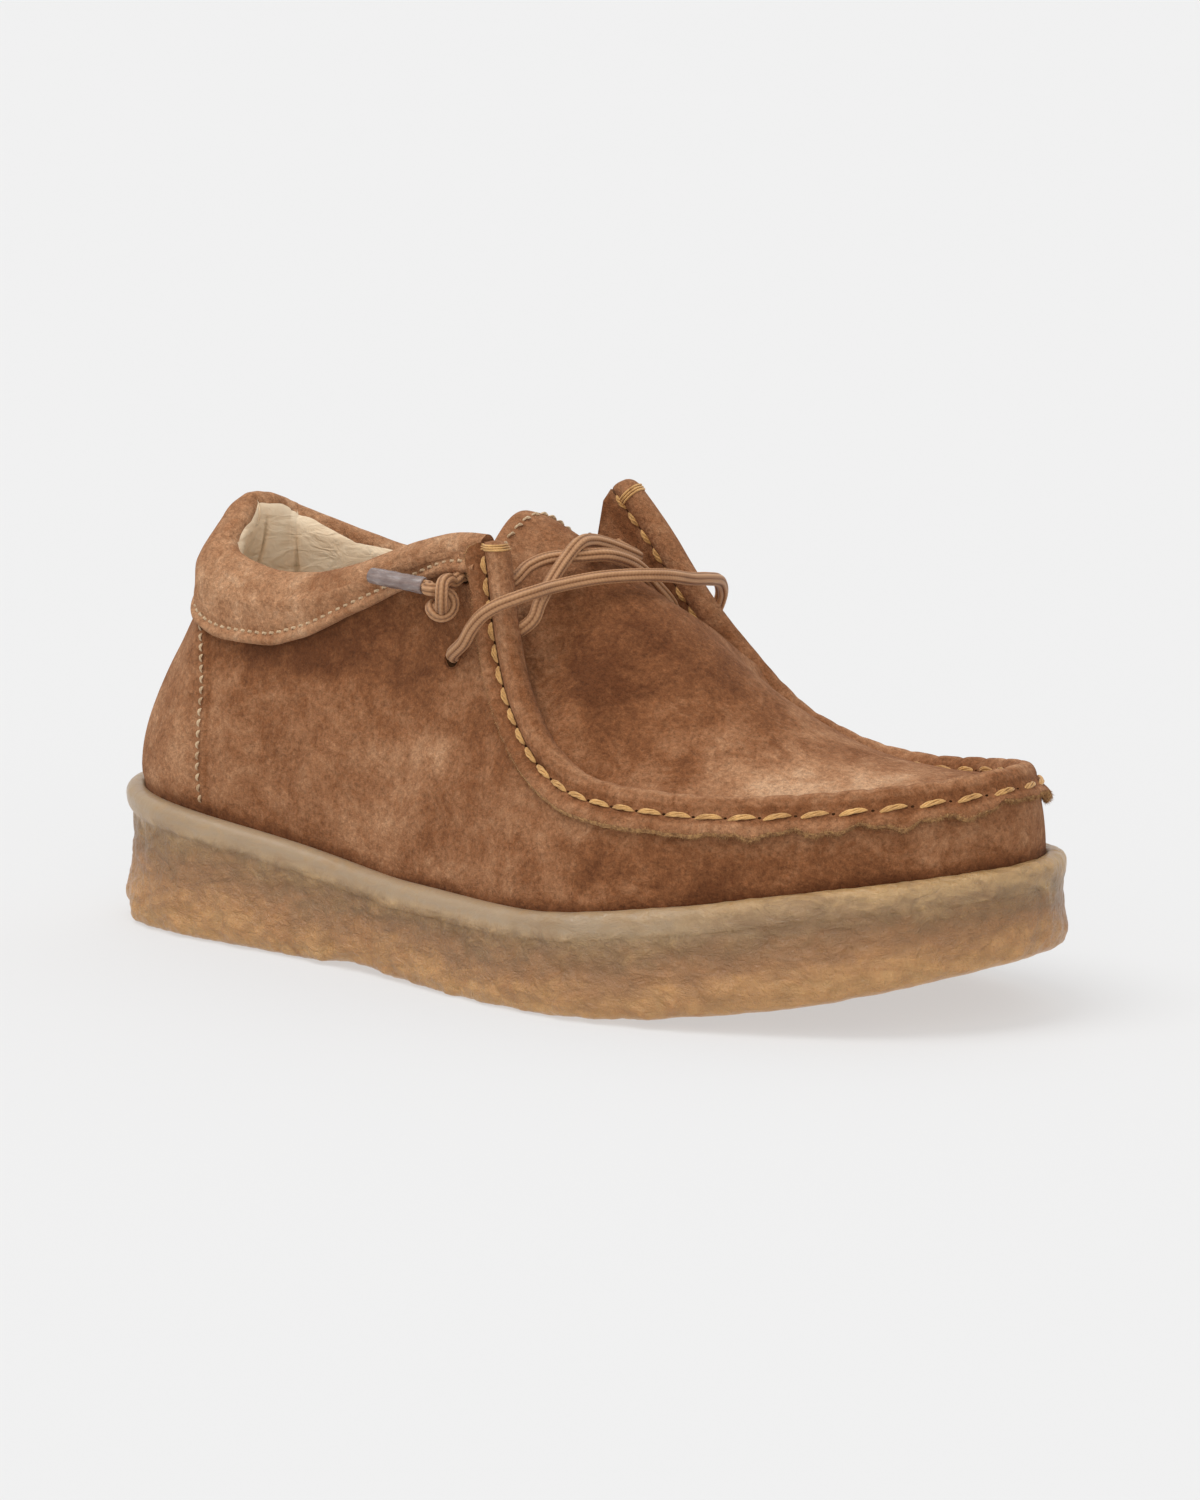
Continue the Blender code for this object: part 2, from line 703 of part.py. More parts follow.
def outer_column(foot, top, seam, frame):
    """The outer face's points up one column."""
    length = np.linalg.norm((top - foot) * (PERIMETER, 1))
    shares = row_shares(length, seam)
    place = foot + (top - foot) * shares[:, None]
    relief = np.zeros(len(shares))
    if seam:
        relief[-2:] = RAW_EDGE_STEP, 0.0009
    rows = wall(place[:, 0], place[:, 1], relief)
    if not seam:
        shares = 1 - 0.003 / length * (1 - np.arange(1, len(ROLL_ANGLES) + 1) / len(ROLL_ANGLES))
        place = foot + (top - foot) * shares[:, None]
        return np.concatenate([rows, wall(place[:, 0], place[:, 1])])
    base, across, up = frame
    angles = np.radians(ROLL_ANGLES)[:, None]
    roll = base + across * ROLL_WIDTH / 2 * (1 - np.cos(angles)) + up * ROLL_HEIGHT * np.sin(angles)
    return np.concatenate([rows, roll])


def inner_column(foot, top, seam, frame):
    length = np.linalg.norm((top - foot) * (PERIMETER, 1))
    shares = np.linspace(0, 1 - 0.004 / length if seam else 1, WALL_ROWS)
    place = foot + (top - foot) * shares[:, None]
    rows = wall(place[:, 0], place[:, 1], np.full(WALL_ROWS, -WALL))
    if not seam:
        return rows
    base, across, up = frame
    return np.concatenate([rows[:-1], (base + across * ROLL_WIDTH - up * WALL)[None]])


def crown(share):
    """The apron's section between its edges: steep at the sides, easing into a valley at the seam."""
    arch = 1 - (2 * share - 1) ** 2
    return 0.6 * arch + 0.4 * np.sin(np.pi * share) ** 2


def arched(left, right):
    """Points across from left to right, raised to the ridge line."""
    shares = np.arange(ACROSS + 1) / ACROSS
    points = left + (right - left) * shares[:, None]
    height = RIDGE_HEIGHT((left[0] + right[0]) / 2) - (left[2] + right[2]) / 2
    points[:, 2] += max(height, 0) * crown(shares)
    return points


def surface_normals(grid):
    """Upward normals of a grid of points."""
    normals = np.cross(np.gradient(grid, axis=0), np.gradient(grid, axis=1))
    lengths = np.linalg.norm(normals, axis=-1)[..., None]
    normals = normals / np.maximum(lengths, 1e-12)
    return normals * np.sign(normals[..., 2].mean())


def upper_halves():
    """Outer and inner columns of both halves, and the apron's rungs between them."""
    sides = {side: half_columns(side) for side in ("lateral", "medial")}
    tops = {side: top[COLLAR_COLUMNS:] for side, (_, top, _) in sides.items()}
    path = np.concatenate([tops["lateral"], tops["medial"][-2::-1]])
    past = np.concatenate([sides["lateral"][2], sides["medial"][2][-2::-1]])
    points = wall(path[:, 0], path[:, 1])
    across, up = seam_frames(points, wall_normal(path[:, 0], path[:, 1]), past)
    frames = list(zip(points, across, up))
    count = len(tops["lateral"])
    halves = {}
    for side, (foot, top, _) in sides.items():
        own = frames[:count] if side == "lateral" else frames[: count - 2 : -1]
        outer, inner = [], []
        for i in range(len(top)):
            seam = i >= COLLAR_COLUMNS
            frame = own[i - COLLAR_COLUMNS] if seam else None
            outer.append(outer_column(foot[i], top[i], seam, frame))
            inner.append(inner_column(foot[i], top[i], seam, frame))
        halves[side] = (np.array(outer), np.array(inner))
    return halves


def apron_rungs(halves):
    """Rungs across the apron's outer face, from the throat to just before the tip."""
    first = COLLAR_COLUMNS + EYESTAY_COLUMNS
    ends = zip(halves["lateral"][0][first:-1], halves["medial"][0][first:-1])
    return np.array([arched(left[-1], right[-1]) for left, right in ends])


def make_upper():
    halves = upper_halves()
    shell = Shell()
    first = COLLAR_COLUMNS + EYESTAY_COLUMNS
    loops = {}
    for face in (0, 1):
        lateral = shell.add(halves["lateral"][face])
        medial_points = halves["medial"][face]
        medial = np.empty(medial_points.shape[:2], int)
        medial[1:-1] = shell.add(medial_points[1:-1])
        medial[0], medial[-1] = lateral[0], lateral[-1]
        shell.grid(lateral)
        shell.grid(medial)
        rungs = apron_rungs(halves)
        if face == 1:
            rungs = rungs - surface_normals(rungs) * WALL
        rows = []
        for i, points in enumerate(rungs):
            rows.append([lateral[first + i][-1], *shell.add(points[1:-1]), medial[first + i][-1]])
        rows.append([lateral[-1][-1]] * (ACROSS + 1))
        shell.grid(rows)
        opening = [*lateral[:first, -1], *rows[0], *medial[first - 1 : 0 : -1, -1]]
        bottom = [*lateral[:, 0], *medial[-2:0:-1, 0]]
        loops[face] = (opening, bottom)
    for outer, inner in zip(loops[0], loops[1]):
        shell.strip(outer, inner, closed=True)
    upper = shell.build("upper", SUEDE, 0.95)
    for eyelet in EYELETS:
        cutter = eyelet_cutter(eyelet)
        modifier = upper.modifiers.new("cut_" + eyelet.name, "BOOLEAN")
        modifier.operation = "DIFFERENCE"
        modifier.solver = "EXACT"
        modifier.object = cutter


def eyelet_cutter(eyelet):
    u, h = on_wall(eyelet.side, eyelet.x, eyelet.z)
    middle = wall(u, h)
    normal = wall_normal(u, h)
    side = unit(np.cross(normal, np.array([0.0, 0.0, 1.0])))
    up = np.cross(side, normal)
    shell = Shell()
    angles = np.radians(np.arange(0, 360, 36))[:, None]
    circle = EYELET_RADIUS * (np.cos(angles) * side + np.sin(angles) * up)
    ends = [shell.add(middle + circle + normal * out) for out in (-0.006, 0.006)]
    shell.grid(ends, closed=True)
    for end in ends:
        shell.fan(end)
    cutter = shell.build("cutter_" + eyelet.name, SUEDE)
    cutter.hide_render = True
    cutter.display_type = "WIRE"
    return cutter


def tongue_surface():
    """Rungs across the tongue's outer face, from the throat to its top. It carries on the apron's surface
    behind the eyestays."""
    rungs = []
    for share in np.linspace(0, 1, TONGUE_RUNGS):
        ends = []
        for side, prefix in (("lateral", ""), ("medial", "medial_")):
            x = column(TONGUE_EDGES, "share", prefix + "x")(share)
            z = column(TONGUE_EDGES, "share", prefix + "z")(share)
            clear = column(TONGUE_EDGES, "share", "clearance")(share)
            u, h = on_wall(side, x, z)
            ends.append(wall(u, h, -(WALL + clear)))
        rungs.append(arched(*ends))
    outer = np.array(rungs)
    throat = apron_rungs(upper_halves())[0]
    throat[0] += (throat[1] - throat[0]) * THROAT_INSET
    throat[-1] += (throat[-2] - throat[-1]) * THROAT_INSET
    throat[:, 0] -= THROAT_GAP
    own = smoothstep(0, THROAT_BLEND, np.linspace(0, 1, TONGUE_RUNGS))[:, None, None]
    outer = outer * own + (throat + outer - outer[0]) * (1 - own)
    shares = np.arange(ACROSS + 1) / ACROSS
    outer[-1, :, 0] -= TONGUE_BOW * np.sin(np.pi * shares)
    return outer


def make_tongue():
    outer = tongue_surface()
    inner = outer - surface_normals(outer) * TONGUE_THICKNESS
    shell = Shell()
    faces = [shell.add(outer), shell.add(inner)]
    for face in faces:
        shell.grid(face)
    edges = [[*face[0], *face[1:, -1], *face[-1, -2::-1], *face[-2:0:-1, 0]] for face in faces]
    shell.strip(*edges, closed=True)
    shell.build("tongue", SUEDE, 0.95)


def collar_section(side, u):
    """The collar's section at one place along the lip, as (height, out) pairs."""
    top = collar_height(side, u, "top")
    edge = collar_height(side, u, "edge")
    depth = top - edge
    pad = PAD + PAD_SHARE * depth
    return [(edge + row.share * depth - row.drop, row.pad * pad + row.reach) for row in COLLAR_SECTION]


def make_collar():
    shell = Shell()
    sections = []
    lateral_end = share_at("lateral", COLLAR_END["lateral"])
    medial_end = share_at("medial", COLLAR_END["medial"])
    stops = [("lateral", u) for u in np.linspace(lateral_end, 0, COLLAR_SECTIONS)]
    stops += [("medial", u) for u in np.linspace(1, medial_end, COLLAR_SECTIONS)[1:]]
    for side, u in stops:
        section = np.array(collar_section(side, u))
        sections.append(shell.add(wall(np.full(len(section), u), section[:, 0], section[:, 1])))
    shell.grid([list(section) + [section[0]] for section in sections])
    for section in (sections[0], sections[-1]):
        shell.face(section)
    shell.build("collar", SUEDE, 0.95)


def swept(points, radius, sides=CORD_SIDES, closed=False):
    """A round cord along a line of points, as a shell."""
    points = np.array(points, float)
    if closed:
        tangents = unit(np.roll(points, -1, 0) - np.roll(points, 1, 0))
    else:
        tangents = unit(np.gradient(points, axis=0))
    normal = unit(np.cross(tangents[0], (0.31, 0.22, 0.93)))
    angles = (np.arange(sides) * 2 * math.pi / sides)[:, None]
    shell = Shell()
    rings = []
    for point, tangent in zip(points, tangents):
        normal = unit(normal - tangent * (normal @ tangent))
        binormal = np.cross(tangent, normal)
        rings.append(shell.add(point + radius * (np.cos(angles) * normal + np.sin(angles) * binormal)))
    if closed:
        shell.grid([*rings, rings[0]], closed=True)
    else:
        shell.grid(rings, closed=True)
        shell.fan(rings[0])
        shell.fan(rings[-1])
    return shell


def route(points, spacing):
    """Points at even distances along a smooth curve through a cord's own points."""
    points = np.array(points, float)
    places = np.concatenate([[0], np.cumsum(np.linalg.norm(np.diff(points, axis=0), axis=1))])
    axes = [curve(places, points[:, axis]) for axis in range(3)]
    fine = np.linspace(0, places[-1], max(2, int(round(places[-1] / spacing)) + 1))
    return np.stack([axis(fine) for axis in axes], 1)


def joined(name, shells, colour):
    """One solid from cords that cross or are knotted."""
    first, *others = shells
    whole = first.build(name, colour, 0.7)
    for i, other in enumerate(others):
        piece = other.build(f"{name}_with_{i}", colour)
        piece.hide_render = True
        piece.display_type = "WIRE"
        modifier = whole.modifiers.new(f"join_{i}", "BOOLEAN")
        modifier.operation = "UNION"
        modifier.solver = "EXACT"
        modifier.object = piece


def make_lace_bars():
    shells = [swept(route(places, 1.4 * LACE), LACE / 2) for places in LACE_BARS.values()]
    joined("lace_bars", [shells[1], shells[0], shells[2]], CORD)


def circle(middle, first, second, radius):
    angles = (np.arange(KNOT_STEPS) * 2 * math.pi / KNOT_STEPS)[:, None]
    return middle + radius * (np.cos(angles) * first + np.sin(angles) * second)


def make_knot(knot):
    outward = np.array([0.0, -1.0 if knot.side == "lateral" else 1.0, 0.0])
    up = np.array([0.0, 0.0, 1.0])
    along = np.array([1.0, 0.0, 0.0])
    turn = np.array([knot.x, knot.y, knot.z])
    ring = turn - up * KNOT_DROP - along * KNOT_BACK
    eyelet = next(row for row in EYELETS if row.name == knot.side + "_upper")
    u, h = on_wall(eyelet.side, eyelet.x, eyelet.z)
    mouth = wall(u, h) + wall_normal(u, h) * CURVED_GAP
    middle = (mouth + turn) / 2 + up * STEM_RISE
    stem = [mouth, middle, turn + up * KNOT_RADIUS - outward * STEM_BACK]
    sleeve_ends = np.array([knot.sleeve_start, knot.sleeve_end])
    forward = unit(sleeve_ends[0] - sleeve_ends[1])
    tail = [sleeve_ends[0] + forward * reach for reach in TAIL_REACHES]
    shells = [
        swept(circle(ring, along, up, KNOT_RADIUS), LACE / 2, closed=True),
        swept(circle(turn, outward, up, KNOT_RADIUS), LACE / 2, closed=True),
        swept(route(stem, 0.6 * LACE), LACE / 2),
        swept(tail, LACE / 2),
    ]
    joined("knot_" + knot.side, shells, CORD)
    sleeve = swept(sleeve_ends, SLEEVE_DIAMETER / 2, sides=SLEEVE_SIDES)
    sleeve.build("sleeve_" + knot.side, SLEEVE, 0.25)


def main():
    for obj in list(bpy.data.objects):
        bpy.data.objects.remove(obj, do_unlink=True)
    make_outsole()
    make_insole()
    make_upper()
    make_tongue()
    make_collar()
    make_lace_bars()
    for knot in KNOTS:
        make_knot(knot)


main()
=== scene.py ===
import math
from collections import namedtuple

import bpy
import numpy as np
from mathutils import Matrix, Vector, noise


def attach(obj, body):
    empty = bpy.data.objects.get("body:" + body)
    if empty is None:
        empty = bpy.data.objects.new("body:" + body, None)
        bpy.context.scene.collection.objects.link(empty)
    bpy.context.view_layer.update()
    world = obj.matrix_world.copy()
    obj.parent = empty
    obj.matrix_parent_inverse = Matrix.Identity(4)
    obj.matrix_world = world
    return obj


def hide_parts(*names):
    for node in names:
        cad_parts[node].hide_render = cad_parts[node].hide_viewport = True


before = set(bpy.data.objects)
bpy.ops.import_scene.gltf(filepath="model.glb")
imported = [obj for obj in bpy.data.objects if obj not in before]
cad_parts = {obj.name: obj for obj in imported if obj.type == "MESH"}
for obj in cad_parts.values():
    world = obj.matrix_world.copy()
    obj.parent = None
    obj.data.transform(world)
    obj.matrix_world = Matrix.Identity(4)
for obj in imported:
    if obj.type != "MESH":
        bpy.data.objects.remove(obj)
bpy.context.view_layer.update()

# A right shoe: a suede moccasin upper with a raised apron seam and golden stitches, a padded
# collar over a cream lining, a thin ribbed lace with a knot and a clear sleeve at each end, and a gum
# cupsole. Metres; +X runs from heel to toe, +Y to the medial side, +Z up.
#
# The upper's wall is one function of u, the share of the way round the sole's outline from the heel along
# the lateral side, and h, the height above the sole's lip. Every piece on the wall takes its place from it.


def table(columns, *rows):
    """Rows of values, each under its column's name."""
    row = namedtuple("Row", columns)
    return tuple(row(*values) for values in rows)


SIDES = ("lateral", "medial")

# Driving dimensions, the same as the solids'
LENGTH = 0.270
BALL_WIDTH = 0.1057
LIP_RISE = 0.003
LIP_INSET = 0.005
RECESS_DEPTH = 0.004
GAP = 0.0003
WALL = 0.002
INSOLE_THICKNESS = 0.0045
TOE_SPRING = 0.0176
SPRING_START = 0.020
ARCH_RISE = 0.0024
LACE = 0.0034
ROLL_WIDTH = 0.0062
ROLL_HEIGHT = 0.0042
EYESTAY_ROLL = 0.0022
INNER_ROLL = 0.0017
RAW_EDGE = 0.0044

# The sole's outline: shares of its length, and of the ball's width on each side
OUTLINE = table(
    "along lateral medial",
    (0.000, 0.000, 0.000),
    (0.028, 0.173, 0.179),
    (0.100, 0.286, 0.279),
    (0.222, 0.331, 0.317),
    (0.359, 0.383, 0.322),
    (0.500, 0.475, 0.350),
    (0.611, 0.527, 0.416),
    (0.715, 0.501, 0.473),
    (0.815, 0.421, 0.478),
    (0.907, 0.303, 0.407),
    (0.970, 0.137, 0.274),
    (1.000, -0.066, 0.066),
)
# The height of the sole's lip along the shoe
LIP = table(
    "x height",
    (-0.135, 0.0331),
    (-0.100, 0.0302),
    (-0.060, 0.0262),
    (-0.020, 0.0223),
    (0.020, 0.0221),
    (0.060, 0.0262),
    (0.100, 0.0326),
    (0.135, 0.0370),
)
# How far the wall leans in at three heights above the lip, on the lateral and on the medial side
LOW, MIDDLE, HIGH = 0.015, 0.040, 0.075
LEAN = table(
    "x low middle high medial_low medial_middle medial_high",
    (-0.135, 0.0020, 0.0142, 0.0272, 0.0020, 0.0142, 0.0272),
    (-0.118, 0.0009, 0.0095, 0.0216, 0.0009, 0.0095, 0.0216),
    (-0.100, -0.0004, 0.0045, 0.0125, -0.0004, 0.0045, 0.0125),
    (-0.060, -0.0008, 0.0020, 0.0070, -0.0005, 0.0020, 0.0065),
    (-0.020, 0.0010, 0.0060, 0.0125, 0.0005, 0.0030, 0.0065),
    (0.010, 0.0020, 0.0090, 0.0170, 0.0010, 0.0050, 0.0090),
    (0.040, 0.0025, 0.0110, 0.0220, 0.0015, 0.0080, 0.0150),
    (0.080, 0.0020, 0.0110, 0.0220, 0.0020, 0.0110, 0.0220),
    (0.135, 0.0020, 0.0100, 0.0200, 0.0020, 0.0100, 0.0200),
)
# The heights of the collar's top and of the lower edge of its outer flap
COLLAR = table(
    "x lateral_top medial_top lateral_edge medial_edge",
    (-0.135, 0.1115, 0.1115, 0.0880, 0.0880),
    (-0.124, 0.1097, 0.1118, 0.0862, 0.0862),
    (-0.118, 0.1085, 0.1116, 0.0850, 0.0850),
    (-0.106, 0.1045, 0.1100, 0.0810, 0.0815),
    (-0.098, 0.1013, 0.1084, 0.0790, 0.0798),
    (-0.088, 0.0980, 0.1050, 0.0776, 0.0785),
    (-0.075, 0.0962, 0.1010, 0.0778, 0.0780),
    (-0.062, 0.0972, 0.0984, 0.0810, 0.0800),
    (-0.047, 0.1012, 0.0985, 0.0880, 0.0845),
    (-0.030, 0.1073, 0.1010, 0.0960, 0.0900),
    (-0.015, 0.1110, 0.1035, 0.1018, 0.0945),
    (-0.009, 0.1113, 0.1060, 0.1025, 0.0970),
    (-0.004, 0.1115, 0.1165, 0.1035, 0.1000),
)
# The x at which the collar and its lining end on each side, under the eyestays
COLLAR_END = {"lateral": -0.0070, "medial": -0.0090}
LINING_END = {"lateral": -0.0230, "medial": -0.0240}
TOP_BELOW_COLLAR = 0.0035
# The stitched line: down each eyestay to the throat, and on round the apron to the tip
EYESTAY = {
    "lateral": table(
        "x z",
        (-0.0042, 0.1100),
        (-0.0011, 0.0934),
        (0.0053, 0.0769),
        (0.0120, 0.0675),
        (0.0200, 0.0598),
    ),
    "medial": table(
        "x z",
        (-0.0030, 0.1172),
        (0.0087, 0.1045),
        (0.0159, 0.0945),
        (0.0242, 0.0835),
        (0.0345, 0.0718),
    ),
}
APRON = {
    "lateral": table(
        "x z",
        (0.0346, 0.0532),
        (0.0600, 0.0513),
        (0.0850, 0.0523),
        (0.1070, 0.0547),
        (0.1190, 0.0562),
    ),
    "medial": table(
        "x z",
        (0.0485, 0.0598),
        (0.0613, 0.0540),
        (0.0750, 0.0514),
        (0.0950, 0.0518),
        (0.1120, 0.0542),
    ),
}
TIP_HEIGHT = 0.0175
# The middle line of the tongue and the apron
RIDGE = table(
    "x z",
    (-0.016, 0.1175),
    (-0.006, 0.1123),
    (0.004, 0.1076),
    (0.014, 0.1020),
    (0.024, 0.0963),
    (0.034, 0.0900),
    (0.044, 0.0828),
    (0.054, 0.0755),
    (0.064, 0.0692),
    (0.076, 0.0638),
    (0.088, 0.0605),
    (0.100, 0.0590),
    (0.124, 0.0585),
)
# The tongue's edges from the throat to its top, and how far inside the wall they lie
TONGUE_EDGES = table(
    "share x z medial_x medial_z clearance",
    (0.00, 0.0200, 0.0610, 0.0370, 0.0745, 0.0010),
    (0.35, 0.0090, 0.0680, 0.0230, 0.0800, 0.0010),
    (0.70, -0.0020, 0.0860, 0.0060, 0.0940, 0.0025),
    (1.00, -0.0110, 0.1060, -0.0090, 0.1060, 0.0060),
)
THROAT_BLEND = 0.28
TONGUE_BOW = 0.003
Eyelet = namedtuple("Eyelet", "side x z")
EYELETS = {
    "lateral_lower": Eyelet("lateral", -0.0120, 0.0814),
    "lateral_upper": Eyelet("lateral", -0.0115, 0.1010),
    "medial_lower": Eyelet("medial", 0.0180, 0.0815),
    "medial_upper": Eyelet("medial", -0.0005, 0.1035),
}
EYELET_RADIUS = 0.0021

# The lace's three bars, each from the lateral to the medial side
OUTER_BAR = table(
    "x y z",
    (-0.0106, -0.0320, 0.0810),
    (-0.0062, -0.0332, 0.0860),
    (-0.0033, -0.0341, 0.0897),
    (0.0006, -0.0348, 0.0934),
    (0.0052, -0.0348, 0.0962),
    (0.0095, -0.0330, 0.0981),
    (0.0118, -0.0285, 0.0992),
    (0.0121, -0.0214, 0.0996),
    (0.0179, -0.0120, 0.1010),
    (0.0229, -0.0040, 0.1012),
    (0.0269, 0.0060, 0.1003),
    (0.0275, 0.0160, 0.0983),
    (0.0270, 0.0245, 0.0972),
    (0.0258, 0.0315, 0.0956),
    (0.0238, 0.0355, 0.0915),
    (0.0215, 0.0355, 0.0865),
    (0.0193, 0.0326, 0.0825),
)
RISING_BAR = table(
    "x y z",
    (0.0088, -0.0256, 0.0915),
    (0.0096, -0.0236, 0.0956),
    (0.0099, -0.0185, 0.1010),
    (0.0101, -0.0132, 0.1053),
    (0.0110, -0.0090, 0.1087),
    (0.0104, -0.0030, 0.1088),
    (0.0106, 0.0030, 0.1074),
    (0.0119, 0.0110, 0.1044),
    (0.0114, 0.0155, 0.1028),
    (0.0085, 0.0195, 0.1022),
)
FALLING_BAR = table(
    "x y z",
    (0.0007, -0.0234, 0.1000),
    (0.0030, -0.0190, 0.1035),
    (0.0053, -0.0150, 0.1051),
    (0.0086, -0.0112, 0.1056),
    (0.0117, -0.0080, 0.1056),
    (0.0148, -0.0030, 0.1056),
    (0.0160, 0.0030, 0.1040),
    (0.0165, 0.0090, 0.1013),
    (0.0168, 0.0160, 0.0960),
    (0.0175, 0.0220, 0.0905),
)
# The middle of each knot's ring, and where its sleeve starts and ends
Place = namedtuple("Place", "x y z")
Knot = namedtuple("Knot", "x y z sleeve_start sleeve_end")
KNOTS = {
    "lateral": Knot(
        -0.0128, -0.0326, 0.0986, Place(-0.0192, -0.0318, 0.0984), Place(-0.0360, -0.0312, 0.0995)
    ),
    "medial": Knot(
        -0.0016, 0.0325, 0.1005, Place(-0.0080, 0.0326, 0.1004), Place(-0.0248, 0.0328, 0.1015)
    ),
}
SLEEVE_DIAMETER = 0.0042


# Curves


# Points that a smooth line is measured with for each of its own, and steps of a search
FINE_POINTS = 40
HALVINGS = 40
# How far a seed moves the noise along each axis, in its own sizes
SEED_STEP = np.array([7.31, 3.17, 5.93])


def cubic(t, length, values, tangents, first, second):
    """The smooth cubic from one value to another, at the share t of the step between them."""
    return (
        (2 * t**3 - 3 * t**2 + 1) * values[first]
        + (t**3 - 2 * t**2 + t) * length * tangents[first]
        + (3 * t**2 - 2 * t**3) * values[second]
        + (t**3 - t**2) * length * tangents[second]
    )


def curve(places, values):
    """A smooth curve through the values, which doesn't swing past them between two places."""
    places = np.array(places, float)
    values = np.array(values, float)
    steps = np.diff(places)
    slopes = np.diff(values) / steps
    tangents = np.concatenate([slopes[:1], np.zeros(len(slopes) - 1), slopes[-1:]])
    for i in range(1, len(slopes)):
        before, after = slopes[i - 1], slopes[i]
        if before * after > 0:
            near = 2 * steps[i] + steps[i - 1]
            far = steps[i] + 2 * steps[i - 1]
            tangents[i] = (near + far) / (near / before + far / after)

    def at(place):
        place = np.clip(place, places[0], places[-1])
        i = np.clip(np.searchsorted(places, place, side="right") - 1, 0, len(steps) - 1)
        return cubic((place - places[i]) / steps[i], steps[i], values, tangents, i, i + 1)

    return at


def column(table, place, value):
    return curve([getattr(row, place) for row in table], [getattr(row, value) for row in table])


def closed_curve(points):
    """A smooth closed curve through the points, as a function of the share of the way round, and the
    shares at which it meets them."""
    points = np.array(points, float)
    count = len(points)
    steps = np.linalg.norm(np.roll(points, -1, 0) - points, axis=1) ** 0.5
    ends = np.concatenate([[0], np.cumsum(steps)])
    matrix = np.zeros((count, count))
    right = np.zeros_like(points)
    for i in range(count):
        before, after = steps[i - 1], steps[i]
        following = (i + 1) % count
        matrix[i, i - 1] += after
        matrix[i, i] += 2 * (before + after)
        matrix[i, following] += before
        right[i] = 3 * after * (points[i] - points[i - 1]) / before
        right[i] += 3 * before * (points[following] - points[i]) / after
    tangents = np.linalg.solve(matrix, right)

    def at(share):
        place = np.asarray(share, float) % 1 * ends[-1]
        i = np.clip(np.searchsorted(ends, place, side="right") - 1, 0, count - 1)
        following = (i + 1) % count
        length = steps[i][..., None]
        return cubic((place - ends[i])[..., None] / length, length, points, tangents, i, following)

    return at, ends / ends[-1]


def unit(vectors):
    return vectors / np.maximum(np.linalg.norm(vectors, axis=-1), 1e-12)[..., None]


def smoothstep(low, high, value):
    t = np.clip((value - low) / (high - low), 0, 1)
    return t * t * (3 - 2 * t)


def bell(value, middle, width):
    return np.exp(-(((value - middle) / width) ** 2))


def smooth_line(points, spacing):
    """Points at even distances along a rounded curve through the points of a list."""
    points = np.array(points, float)
    steps = np.linalg.norm(np.diff(points, axis=0), axis=1) ** 0.5
    places = np.concatenate([[0], np.cumsum(steps)])
    tangents = np.gradient(points, places, axis=0)
    fine = np.linspace(0, places[-1], FINE_POINTS * len(points))
    i = np.clip(np.searchsorted(places, fine, side="right") - 1, 0, len(steps) - 1)
    length = steps[i][:, None]
    line = cubic((fine - places[i])[:, None] / length, length, points, tangents, i, i + 1)
    return even(line, spacing)


def distances(line):
    """The distance along a line to each of its points."""
    return np.concatenate([[0], np.cumsum(np.linalg.norm(np.diff(line, axis=0), axis=1))])


def even(line, spacing):
    """The line's course, with points at even distances."""
    along = distances(line)
    count = max(2, int(round(along[-1] / spacing)) + 1)
    return along_line(np.linspace(0, along[-1], count), along, line)


def halve(low, high, falls_short):
    """The place between low and high at which falls_short turns from true to false."""
    for _ in range(HALVINGS):
        middle = (low + high) / 2
        if falls_short(middle):
            low = middle
        else:
            high = middle
    return middle


def along_line(where, places, rows):
    """Each column of the rows, which stand at places, read off at other places."""
    return np.stack([np.interp(where, places, rows[:, k]) for k in range(rows.shape[1])], 1)


def roughness_at(points, size, seed, octaves=3):
    """Soft noise from about -1 to 1, with lumps of a size in metres."""
    flat = np.asarray(points, float).reshape(-1, 3) / size + seed * SEED_STEP
    values = [noise.fractal(tuple(point), 1.0, 2.0, octaves) for point in flat]
    return np.array(values).reshape(np.asarray(points).shape[:-1])


# The shoe's functions


def plan_points():
    places = [(row.along - 0.5) * LENGTH for row in OUTLINE]
    lateral = [(x, -row.lateral * BALL_WIDTH) for x, row in zip(places, OUTLINE)]
    medial = [(x, row.medial * BALL_WIDTH) for x, row in zip(places, OUTLINE)][1:-1]
    return lateral + medial[::-1]


PLAN, PLAN_SHARES = closed_curve(plan_points())
TIP = PLAN_SHARES[len(OUTLINE) - 1]
AROUND = PLAN(np.linspace(0, 1, 2000, endpoint=False))
CENTRE = (AROUND.min(axis=0) + AROUND.max(axis=0)) / 2
PERIMETER = np.linalg.norm(np.roll(AROUND, -1, 0) - AROUND, axis=1).sum()
LIP_HEIGHT = column(LIP, "x", "height")
SPINE = np.array([(-0.095, 0.002), (0.095, 0.006)])
RIDGE_HEIGHT = column(RIDGE, "x", "z")
# The step over which a slope is measured, in u and in metres
SLOPE_STEP = 1e-4
# The arch lies between two places along the sole, and rises fully from the middle to the medial side
ARCH_START = -0.062
ARCH_LENGTH = 0.050
ARCH_SIDES = (-0.050, 0.030)


def outline(u, inset=0.0):
    """Points on the sole's outline, moved in by inset, and the directions that point inwards."""
    along = unit(PLAN(np.asarray(u) + SLOPE_STEP) - PLAN(np.asarray(u) - SLOPE_STEP))
    inward = np.stack([-along[..., 1], along[..., 0]], -1)
    return PLAN(u) - CENTRE + inward * np.asarray(inset)[..., None], inward


def lip_top(x):
    return LIP_HEIGHT(x) + LIP_RISE


